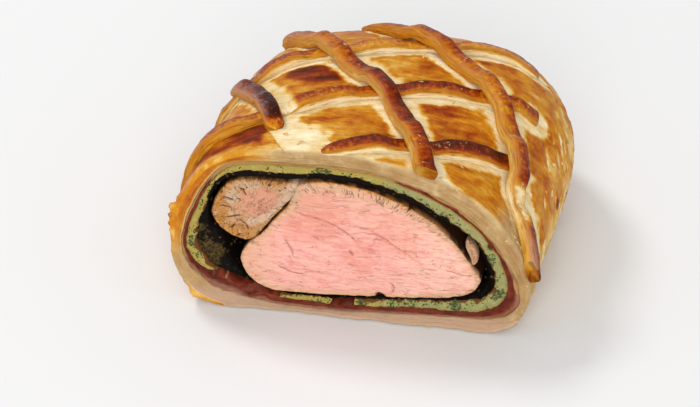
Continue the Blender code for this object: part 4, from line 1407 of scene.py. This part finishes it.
def crepe_paint():
    paint = Paint("herb_crepe")
    mottled = paint.grain(3.0, 4.0)
    crumb = paint.grain(0.6, 3.0)
    bunches = paint.mark("herbs_near") * 0.26 + paint.grain(1.1, 4.0, bend=0.8) * 1.5
    colour = paint.over(CREPE_YELLOW, CREPE_GREEN, paint.mark("green") + mottled * 0.9, 0.2, 0.9)
    colour = paint.over(colour, CREPE_CREAM, crumb + mottled * 0.6, -0.05, 0.45)
    colour = paint.over(colour, CREPE_GOLD, paint.mark("golden") + mottled * 0.9, 0.35, 1.0, 0.8)
    colour = paint.over(colour, HERB, bunches, 0.30, 0.52, 0.75)
    colour = paint.over(colour, CREPE_BROWN_AND_SHADE, paint.mark("browned_and_shaded") + crumb * 0.6, 0.25, 0.75)
    relief = crumb * 0.9 + mottled * 0.5
    return paint.finish(colour, 0.60, 0.18, relief, 0.50, soft=(0.06, 0.0012))


def duxelles_paint():
    paint = Paint("mushroom")
    lump = paint.grain(1.3, 4.0)
    # Nearly black except at the crumbly spots: the dark duxelles, and painted shade in the gap and
    # hollow where it lies back from the cut.
    colour = paint.over(MUSHROOM_IN_SHADE, MUSHROOM_BROWN, paint.mark("crumbly") + lump * 1.6, 0.45, 1.15)
    return paint.finish(colour, 0.55, 0.10, lump + paint.grain(0.4, 2.0) * 0.4, 0.6)


# ---------------------------------------------------------------------------------------------
# Beef.

LINE_FINE = 16                 # samples between two corners of a line on the cut
FISSURES = [             # lines on the fillet's cut face, how deep, how wide, and the step down
    ([(-21.1, 42.2), (-16, 40.8), (-7.5, 39.1), (-2.4, 36.1), (3.4, 30.2)], 0.8, 0.55, 0.55),
    ([(2.7, 36.3), (7.8, 36.5), (13.6, 33.2), (22.4, 26.5)], 0.9, 0.50, 0.70),
    ([(-23, 31), (-21.3, 27.1), (-19.6, 23.1)], 0.6, 0.50, 0.30),
    ([(29.9, 25.1), (36.8, 23.1), (41.8, 22.9)], 0.7, 0.35, 0.15),
    ([(12.4, 17.4), (14.2, 14.6), (13.2, 11.6)], 0.7, 0.28, 0.0),
    ([(10.9, 9.2), (9.7, 11.0), (8.3, 9.6)], 1.6, 0.9, 0.0),
    ([(-1.2, 29.2), (0.6, 26.6)], 0.6, 0.4, 0.0),
    ([(-26, 20), (-22, 17.5), (-15, 16.5)], 0.35, 0.5, 0.15),
    ([(20.6, 50.0), (18.6, 46.4)], 0.8, 0.4, 0.0),
]
MUSCLE_SPLITS = [
    ([(-39.5, 36.5), (-36.5, 35.0), (-35.2, 32.0)], 0.8, 0.45, 0.3),
    ([(-38.2, 49.2), (-36.8, 47.6), (-36.4, 45.8)], 0.8, 0.35, 0.0),
    ([(-44.5, 45.0), (-40.0, 43.4)], 0.7, 0.4, 0.2),
    ([(-45.8, 41.0), (-41.0, 40.6)], 0.7, 0.4, 0.2),
    ([(-44.5, 36.2), (-40.6, 37.2), (-37.6, 38.4)], 0.8, 0.45, 0.25),
    ([(-41.8, 32.2), (-39.4, 34.2)], 0.7, 0.4, 0.0),
]
TISSUE_LINE = [(-21.0, 51.5), (-22.9, 46.5), (-26.3, 41.3), (-30.1, 37.8), (-34.4, 35.9)]
SINEW_LINE = [(-18.4, 54.4), (-19.4, 51.6), (-20.6, 48.6), (-21.6, 46.6)]
SEARED_SPOTS = [((-22.6, 51.0), 0.7), ((-24.4, 49.8), 0.5), ((-37.0, 48.4), 0.75),
                ((-35.8, 49.4), 0.5), ((-28.0, 51.6), 0.9)]
PALE_SPOTS = [(-37.7, 52.0), (-33.8, 50.6), (-41, 45)]
REDDER_SPOTS = [((-14.0, 41.0), 13.0, 1.0), ((3.0, 27.0), 8.0, 0.8), ((16.0, 36.0), 10.0, 0.6)]
BEEF_BACK = (3.0, 9)           # how far behind the cut a muscle's side starts, and its rings
BEHIND_BEEF = 0.3              # left between its end and what closes there
SHRED_RINGS = [                # of the curl, from its front: how far back, how large
    (-0.1, 0.04), (-0.1, 0.35), (0.0, 0.7), (0.15, 0.86), (0.5, 0.97), (1.2, 1.0), (3.4, 0.96),
    (4.6, 0.8), (5.0, 0.5),
]
SHRED_LOOKS = {"rim": 2.2, "fissure": 0.0, "core": 0.25, "joined": 0.0, "spotted": 0.0,
               "tissue": 0.3, "pale": 0.0, "golden": 0.3, "behind": 0.0}


def carve(spots, lines):
    """How far a face is cut back along its fissures, and how much of one shows at each spot."""
    depth, shown = np.zeros(spots.shape[:-1]), np.zeros(spots.shape[:-1])
    bent = spots + 0.35 * np.stack([noise(spots, 2.0, 81), noise(spots, 2.0, 82)], -1)
    for corners, deep, wide, step in lines:
        line = curve(corners, LINE_FINE, closed=False)
        far, nearest, on_left = beside(bent, line)
        share = nearest / (len(line) - 1)
        fade = smooth(share / 0.2) * smooth((1 - share) / 0.2) * 0.75 + 0.25
        groove = np.exp(-(far / wide) ** 2) * fade
        ledge = np.where(on_left, -1.0, 1.0) * smooth(far / 0.4) * np.exp(-(far / 4.5) ** 2) * fade
        depth += deep * groove + 0.5 * step * ledge
        shown = np.maximum(shown, groove)
    return depth, shown


def make_beef(name, node, material, corners, centre, end, columns, rows, bulge, coarse, crisp,
              fissures, looks):
    """A muscle: its cut face in rings about a centre, then its side back to its own end.

    bulge is how far the face's middle swells, coarse how rough it is and crisp how wide its
    rounded edge is, all in millimetres; looks(spots) gives what its material reads."""
    outline = evenly(curve(corners), columns, closed=True)
    ragged = 0.18 * noise(outline, 2.4, 83) + 0.10 * noise(outline, 0.9, 84)
    outline = pushed(outline, ragged - 0.1, centre)
    share = np.linspace(0.0, 1.0, rows + 1)[1:, None] ** 0.85
    spots = np.array(centre) + (outline - np.array(centre))[None] * share[..., None]
    inward = apart(spots, outline)[0]
    inward[-1] = 0.0
    carved, shown = carve(spots, fissures)
    marks = looks(spots)
    free = 1.0 - marks["joined"]
    rolled = 1.0 - np.sqrt(np.clip(1.0 - (1.0 - np.clip(inward / crisp, 0, 1)) ** 2, 0, 1))
    rolled = rolled * (1.0 - 0.85 * marks["joined"])
    depth = -bulge * smooth(inward / 14.0) + carved + crisp * rolled
    depth += 0.24 * noise(spots, 6.0, 85) + 0.10 * noise(spots * np.array([0.5, 1.0]), 1.6, 86, 1)
    depth += coarse * noise(spots, 2.0, 87, 2)

    start, count = CUT_Y + BEEF_BACK[0], BEEF_BACK[1]
    side = []
    for y in start + (end - BEHIND_BEEF - start) * np.sin(np.linspace(0.0, 1.5, count)):
        ring = layer_section(outline, y, DUXELLES_TO_BEEF_END_Y - BEHIND_BEEF)
        middle = ring.mean(0)
        side.append(middle + (ring - middle) * float(end_scale(y, end - BEEF_ROUNDING, end)))
    marks.update(rim=inward, fissure=shown,
                 behind=smooth((depth - 0.15 - 0.6 * crisp) / (0.4 * crisp)) * free)
    marks = {title: np.concatenate([value, np.repeat(value[-1:], count, 0)])
             for title, value in marks.items()}
    marks["behind"][-count:] = free[-1]
    grid = np.concatenate([on_cut(spots, depth), side])
    v = np.concatenate([-inward.mean(1), BEEF_BACK[0] + 4.0 * np.arange(count)])
    x, _, z = side[-1].mean(0)
    piece = tube(name, grid, along(looped(outline)), v, marks, grid[0].mean(0), (x, end, z))
    return set_on(piece, material, node, node)


def from_line(spots, corners):
    """Distance from a line on the cut."""
    return apart(spots, curve(corners, LINE_FINE, closed=False))[0]


def joined(spots):
    """1 where the fillet and the side muscle hold together."""
    return np.exp(-(from_line(spots, SINEW_LINE) / 2.2) ** 2)


def fillet_marks(spots):
    x, z = spots[..., 0], spots[..., 1]
    upper = smooth((z - 30.0) / 22.0)
    right = smooth((x - 5.0) / 30.0)
    left = smooth((-x - 22.0) / 12.0)
    redder = sum(amount * near_spot(spots, spot, size) for spot, size, amount in REDDER_SPOTS)
    return {"upper": upper, "cooked": np.clip(right * 0.9 + left * 0.7, 0, 1), "redder": redder,
            "joined": joined(spots), "seasoned": np.clip(left + 0.8 * upper, 0, 1)}


def muscle_marks(spots):
    x, z = spots[..., 0], spots[..., 1]
    core = smooth(1.5 - away_from(spots, (-31.0, 43.8), 6.8, 5.8))
    tissue = from_line(spots, TISSUE_LINE) + 0.5 * noise(spots, 2.0, 88)
    spotted = sum(np.exp(-(away_from(spots, spot) / size) ** 2) for spot, size in SEARED_SPOTS)
    golden = np.maximum(smooth((-x - 40.0) / 4.0), smooth((35.5 - z) / 3.5))
    golden = np.maximum(golden, smooth((z - 50.8) / 1.5) * smooth((x + 33.0) / 3.0))
    return {"core": core, "joined": joined(spots), "spotted": spotted,
            "pale": sum(near_spot(spots, spot, 3.0) for spot in PALE_SPOTS), "golden": golden,
            "tissue": smooth((1.7 - tissue) / 0.8)}


def fillet_paint():
    paint = Paint("roast_fillet")
    rim, upper, cooked = paint.mark("rim"), paint.mark("upper"), paint.mark("cooked")
    cloud = paint.grain(6.0, 3.0)
    mottled = paint.grain(2.2, 4.0, bend=0.6)
    speck = paint.grain(0.7, 3.0, bend=0.5)
    grained = paint.vector("MULTIPLY", paint.place, (0.24, 1.0, 1.0))
    strand = paint.grain(0.9, 3.0, grained, 0.6, 0.5)
    thread = paint.thread(2.4, 2.0, grained, 0.013, bend=0.5)
    thread = thread * paint.rise(paint.grain(4.0, 2.0), -0.04, 0.12)
    patchy = paint.grain(1.5, 5.0, grained, bend=0.8)
    band = rim + cloud * 3.0
    cracks = paint.thread(1.9, 2.0, paint.sheet(1.0, 0.20), 0.026, bend=1.2)
    cracks = cracks * paint.rise(band - upper * 3.2, 1.8, 0.2)
    cracks = cracks * paint.rise(upper + cooked, 0.2, 0.7)
    cracks = cracks * paint.rise(paint.grain(3.5, 3.0), -0.10, 0.06)
    dots = paint.rise(paint.cells(2.2) + speck * 0.12, 0.10, 0.04)
    deep = cloud * 0.9 + paint.mark("redder") * 0.60 + strand * 0.8 + mottled * 0.5

    flesh = paint.over(PINK, PINK_PALE, cloud * 0.8 + cooked * 0.8 + mottled * 0.5, -0.1, 0.8)
    flesh = paint.over(flesh, PINK_DEEP, deep, 0.0, 0.80, 0.85)
    flesh = paint.over(flesh, PINK_DEEP, strand + mottled * 0.4, 0.03, 0.24, 0.42)
    flesh = paint.mix(paint.mark("seasoned") * (0.75 + cloud), flesh, TAN_PINK)
    flesh = paint.over(flesh, TAN, band - upper * 2.0, 3.4, 0.4, 0.9)
    flesh = paint.mix(thread * 0.62, flesh, RAW_RED)
    flesh = paint.over(flesh, PINK_DEEP, patchy, 0.02, 0.18, 0.62)
    flesh = paint.over(flesh, PINK_PALE, patchy, -0.03, -0.18, 0.50)
    flesh = paint.over(flesh, PINK_PALE, strand, -0.05, -0.26, 0.42)
    flesh = paint.mix(cracks * 0.85, flesh, SEARED)
    flesh = paint.over(flesh, RIM_GOLD, rim + mottled * 3.0, 1.1, 0.2, 0.25 + upper * 0.7)
    flesh = paint.over(flesh, SEARED, rim + speck * 1.4, 0.40, 0.05, 0.10 + upper * 0.8)
    flesh = paint.over(flesh, RAW_RED, mottled, -0.04, 0.10, dots * 0.6)
    flesh = paint.mix(paint.mark("joined") * (0.85 + speck * 0.6), flesh, SINEW)
    # Along the carved fissures: the darker red of the split meat, and painted shade in the grooves.
    flesh = paint.over(flesh, SPLIT_RED_AND_SHADE, paint.mark("fissure") + strand * 0.5, 0.30, 1.0, 0.6)
    colour = paint.mix(paint.mark("behind"), flesh, IN_SHADE)
    relief = (strand * 1.3 + patchy * 1.4 + speck * 0.4 + mottled * 0.5 - cracks * 0.8
              - thread * 0.5)
    return paint.finish(colour, 0.40, 0.18, relief, 0.42, soft=(0.10, 0.002))


def muscle_paint():
    paint = Paint("seared_muscle")
    rim, golden = paint.mark("rim"), paint.mark("golden")
    cloud = paint.grain(3.0, 3.0)
    speck = paint.grain(0.7, 3.0, bend=0.6)
    ridges = paint.grain(2.3, 2.6, bend=1.5)
    inward = paint.grain(1.1, 2.5, paint.sheet(1.0, 0.20), bend=0.5)
    edge = paint.rise(rim + cloud * 3.0, 7.5, 3.0)
    core = paint.rise(paint.mark("core") + cloud * 0.6 + ridges * 0.3, 0.15, 0.75)
    pale = paint.mark("pale") + cloud * 0.8 + speck * 0.2
    cracks = paint.thread(2.6, 2.0, None, 0.020, bend=1.6) * paint.rise(cloud, -0.10, 0.06)

    flesh = paint.over(MUSCLE_TAN, MUSCLE_GOLD, golden + cloud * 1.4 + ridges * 0.8, 0.10, 1.10)
    # Pale on the tops of the ridges that the relief raises: painted highlight.
    flesh = paint.over(flesh, MUSCLE_PALE, ridges, 0.02, 0.18, 0.7)
    flesh = paint.over(flesh, MUSCLE_PALE, inward - golden * 0.08, 0.02, 0.16, edge * 0.6)
    flesh = paint.over(flesh, SEARED, inward + golden * 0.10, -0.08, -0.20, edge * 0.8)
    flesh = paint.over(flesh, MUSCLE_PALE, pale, 0.3, 0.8, 0.8)
    flesh = paint.mix(cracks * (1.0 - core * 0.8) * 0.85, flesh, MUSCLE_CRACK)
    flesh = paint.mix(core * (0.92 + speck * 0.3), flesh, MUSCLE_PINK)
    flesh = paint.mix(paint.mark("tissue") * (0.90 + speck * 0.4), flesh, SINEW)
    flesh = paint.over(flesh, MUSCLE_CRACK, paint.mark("spotted") + speck * 0.9, 0.50, 0.8, 0.95)
    flesh = paint.over(flesh, RIM_GOLD, rim + cloud * 4.0, 1.6, 0.3, 0.6)
    flesh = paint.over(flesh, SEARED, rim + inward * 5.0, 0.8, 0.0, 0.75)
    flesh = paint.mix(paint.mark("joined") * (0.85 + speck * 0.6), flesh, SINEW)
    # In the carved splits: dark crack colour, in part painted shade in the grooves.
    flesh = paint.over(flesh, MUSCLE_CRACK, paint.mark("fissure") + speck * 0.3, 0.3, 0.9, 0.8)
    colour = paint.mix(paint.mark("behind"), flesh, IN_SHADE)
    relief = speck * 0.4 + ridges * (1.0 - core) * 0.8 + inward * edge * 0.6 - cracks * 0.8
    return paint.finish(colour, 0.42, 0.20, relief, 0.9, soft=(0.06, 0.0015))


def make_shred(material):
    """A curl of seared meat that has come away beside the fillet."""
    outline = evenly(curve(SHRED), 90, closed=True)
    middle = outline.mean(0)
    rings = []
    for back, size in SHRED_RINGS:
        ring = middle + (outline - middle) * size
        rings.append(on_cut(ring, back + 0.3 + 0.25 * noise(ring, 1.5, 91)))
    grid = np.array(rings)
    u = np.append(along(outline), 60.0)
    piece = tube("curl_of_beef", grid, u, np.arange(len(rings)) * 0.8, SHRED_LOOKS,
                 grid[0].mean(0), grid[-1].mean(0))
    set_on(piece, material, "side_muscle", "beef_shred")


# ---------------------------------------------------------------------------------------------
# Small loose things, scattered over a piece's surface by one node tree.

def scatter_tree():
    plan, inputs = start_tree(
        "scatter", ("Density", "Float", 100000.0), ("Smallest", "Float", 0.0004),
        ("Largest", "Float", 0.0009), ("Flatness", "Float", 0.6), ("Length", "Float", 1.0),
        ("Seed", "Int", 1), ("Where", "String", None))
    density = plan.field(inputs["Where"]) * inputs["Density"]
    spots = plan.node("GeometryNodeDistributePointsOnFaces",
                      {"Mesh": inputs["Geometry"], "Density": density, "Seed": inputs["Seed"]},
                      None).outputs
    ball = plan.node("GeometryNodeMeshIcoSphere", {"Radius": 1.0, "Subdivisions": 1}, "Mesh")
    lumpy = plan.node("ShaderNodeTexNoise", {"Scale": 1.1, "Detail": 1.0}, "Color")
    dented = plan.scaled(plan.vector("SUBTRACT", lumpy, (0.5, 0.5, 0.5)), 1.3)
    chip = plan.node("GeometryNodeSetPosition", {"Geometry": ball, "Offset": dented})
    sides = plan.node("ShaderNodeCombineXYZ", {0: inputs["Length"], 1: 1.0, 2: inputs["Flatness"]})
    size = plan.node("FunctionNodeRandomValue", {2: inputs["Smallest"], 3: inputs["Largest"],
                     "Seed": inputs["Seed"]}, 1, data_type="FLOAT")
    spin = plan.node("FunctionNodeRandomValue", {0: (-0.5, -0.5, -3.1), 1: (0.5, 0.5, 3.1),
                     "Seed": inputs["Seed"]}, 0, data_type="FLOAT_VECTOR")
    turned = plan.node("FunctionNodeRotateRotation", {0: Wire(plan, spots["Rotation"]), 1: spin},
                       rotation_space="LOCAL")
    chips = plan.node("GeometryNodeInstanceOnPoints", {
        "Points": Wire(plan, spots["Points"]), "Instance": chip, "Rotation": turned,
        "Scale": plan.scaled(sides, size)})
    return end_tree(plan, chips, inputs["Finish"])


def scatter(name, host, tree, material, slot, **inputs):
    """Chips over a piece, as a piece of their own."""
    piece = into_scene(name, host.data.copy())
    grow(piece, tree, Finish=material, **inputs)
    set_on(piece, None, slot)


def chip_paint(name, dark, light, roughness):
    paint = Paint(name)
    colour = paint.over(dark, light, paint.grain(0.9, 3.0), -0.2, 0.25)
    return paint.finish(colour, roughness, 0.15, paint.grain(0.3, 2.0), 0.15)


# ---------------------------------------------------------------------------------------------
# Stage.

# Where the camera and the lamps stand: degrees towards +X from in front, degrees up, metres away.
CAMERA = {"turn": 10.5, "rise": 34.5, "away": 1.1, "target": (-0.014664, 0.005350, 0.0)}
LAMPS = {
    "window": {"turn": -120.0, "rise": 52.0, "away": 3.0, "size": 0.8, "watts": 31.0},
    "front": {"turn": 6.0, "rise": 28.0, "away": 3.0, "size": 1.8, "watts": 49.0},
}
FOCAL_SHARE = 3058.0 / 700.0   # focal length in frame widths
SENSOR = 36.0
SKY_STRENGTH = 0.64
FLOOR_REACH = 4.0
FLOOR_BELOW = 0.0003


def aim(name, data, turn, rise, away, target=(0.0, 0.0, 0.0)):
    """Puts a camera or a lamp where it looks at the target from a direction."""
    turn, rise = math.radians(turn), math.radians(rise)
    back = Vector((math.sin(turn) * math.cos(rise), -math.cos(turn) * math.cos(rise),
                   math.sin(rise)))
    made = into_scene(name, data)
    made.location = Vector(target) + back * away
    made.rotation_euler = back.to_track_quat("Z", "Y").to_euler()
    return made


def add_camera():
    data = bpy.data.cameras.new("camera")
    data.sensor_width = SENSOR
    data.lens = FOCAL_SHARE * SENSOR
    bpy.context.scene.camera = aim("camera", data, **CAMERA)


def add_lamp(name, size, watts, **place):
    data = bpy.data.lights.new(name, "AREA")
    data.shape = "DISK"
    data.size = size
    data.energy = watts
    aim(name, data, **place)


def add_stage():
    mesh, far = bpy.data.meshes.new("floor"), FLOOR_REACH
    mesh.from_pydata([(-far, -far, 0), (far, -far, 0), (far, far, 0), (-far, far, 0)], [],
                     [(0, 1, 2, 3)])
    floor = into_scene("floor", mesh)
    floor.location.z = -FLOOR_BELOW
    floor.data.materials.append(Paint("floor").finish((*FLOOR, 1.0), 0.8, 0.1))
    world = bpy.data.worlds.new("world")
    world.use_nodes = True
    sky = world.node_tree.nodes["Background"].inputs
    sky["Strength"].default_value = SKY_STRENGTH
    sky["Color"].default_value = (1.0, 1.0, 1.0, 1.0)
    bpy.context.scene.world = world
    bpy.context.scene.view_settings.view_transform = "Standard"
    for name, lamp in LAMPS.items():
        add_lamp(name, **lamp)


# ---------------------------------------------------------------------------------------------

def add_strips():
    sheet, sweep = Sheet(), strip_tree()
    paints = {kind: strip_paint(kind) for kind in ("under", "over")}
    lines = {"under": strip_lines(UNDER_STRIPS), "over": strip_lines(OVER_STRIPS)}
    seeds = itertools.count(101)
    for kind, other, strips in (("under", "over", UNDER_STRIPS), ("over", "under", OVER_STRIPS)):
        for name, corners in strips.items():
            make_strip(name, corners, list(lines[other].values()), kind == "over", sheet, sweep,
                       paints[kind], next(seeds))


def add_layers():
    """The ham, the crepe in its two pieces and the duxelles; returns the last three."""
    angles = layer_angles()
    crust_side = boundary(CRUST_TO_HAM, angles, -SEAM, "ham")
    ham_in, crepe_out = (boundary(HAM_TO_CREPE, angles, d, "crepe") for d in (SEAM, -SEAM))
    crepe_in, duxelles_out = (boundary(CREPE_TO_DUXELLES, angles, d, "duxelles")
                              for d in (SEAM, -SEAM))
    duxelles_in = boundary(DUXELLES_TO_BEEF, angles, SEAM, "beef")

    ham = make_layer("folded_ham", crust_side, CRUST_TO_HAM_END_Y, ham_in, HAM_TO_CREPE_END_Y,
                     rows=10, depth=ham_depth, values=ham_values)
    set_on(ham, ham_paint(), "ham", "ham")
    paint = crepe_paint()
    crepes = []
    for title, node, edges in (("rolled_crepe", "herb_crepe", CREPE_EDGES[::-1]),
                               ("loose_crepe", "crepe_piece", CREPE_PIECE_EDGES)):
        piece = make_layer(title, crepe_out, HAM_TO_CREPE_END_Y, crepe_in,
                           CREPE_TO_DUXELLES_END_Y, rows=14, depth=crepe_depth,
                           values=crepe_values, keep=kept_columns(angles, edges))
        crepes.append(set_on(piece, paint, "herb_crepe", node))
    duxelles = make_layer("chopped_mushroom", duxelles_out, CREPE_TO_DUXELLES_END_Y, duxelles_in,
                          DUXELLES_TO_BEEF_END_Y, rows=12, depth=duxelles_depth(angles),
                          values=duxelles_values)
    set_on(duxelles, duxelles_paint(), "duxelles", "duxelles")
    return *crepes, duxelles


def add_beef():
    make_beef("sliced_fillet", "fillet", fillet_paint(), FILLET, centre=(3.0, 31.0),
              end=FILLET_END_Y, columns=440, rows=104, bulge=0.9, coarse=0.07, crisp=0.5,
              fissures=FISSURES, looks=fillet_marks)
    muscle = muscle_paint()
    make_beef("sliced_side_muscle", "side_muscle", muscle, SIDE_MUSCLE, centre=(-34.0, 42.0),
              end=MUSCLE_END_Y, columns=260, rows=52, bulge=0.5, coarse=0.35, crisp=0.8,
              fissures=MUSCLE_SPLITS, looks=muscle_marks)
    make_shred(muscle)


def add_chips(crust, crepe, loose_crepe, duxelles):
    """Crumbs, flakes and herbs: sizes in metres, density in chips for each square metre."""
    chips = scatter_tree()
    crumb = chip_paint("mushroom_crumb", MUSHROOM_IN_SHADE, MUSHROOM_BROWN, 0.45)
    scatter("mushroom_crumbs", duxelles, chips, crumb, "duxelles", Density=1.1e6,
            Smallest=0.00030, Largest=0.00085, Flatness=0.8, Seed=3, Where="crumbs")
    flake = chip_paint("pastry_flake", FLAKE_BROWN, FLAKE, 0.5)
    scatter("pastry_flakes", crust, chips, flake, "pastry", Density=4.5e4, Smallest=0.0003,
            Largest=0.0010, Flatness=0.10, Length=1.8, Seed=7, Where="flaky")
    herb = chip_paint("herb", HERB, HERB_LIGHT, 0.5)
    for name, host in (("crepe_herbs", crepe), ("loose_crepe_herbs", loose_crepe)):
        scatter(name, host, chips, herb, "herb_crepe", Density=2.2e6, Smallest=0.00010,
                Largest=0.00040, Flatness=0.40, Length=1.5, Seed=5, Where="herbs")


def main():
    crust = make_crust(pastry_paint())
    add_strips()
    layers = add_layers()
    add_beef()
    add_chips(crust, *layers)
    add_stage()
    add_camera()


main()
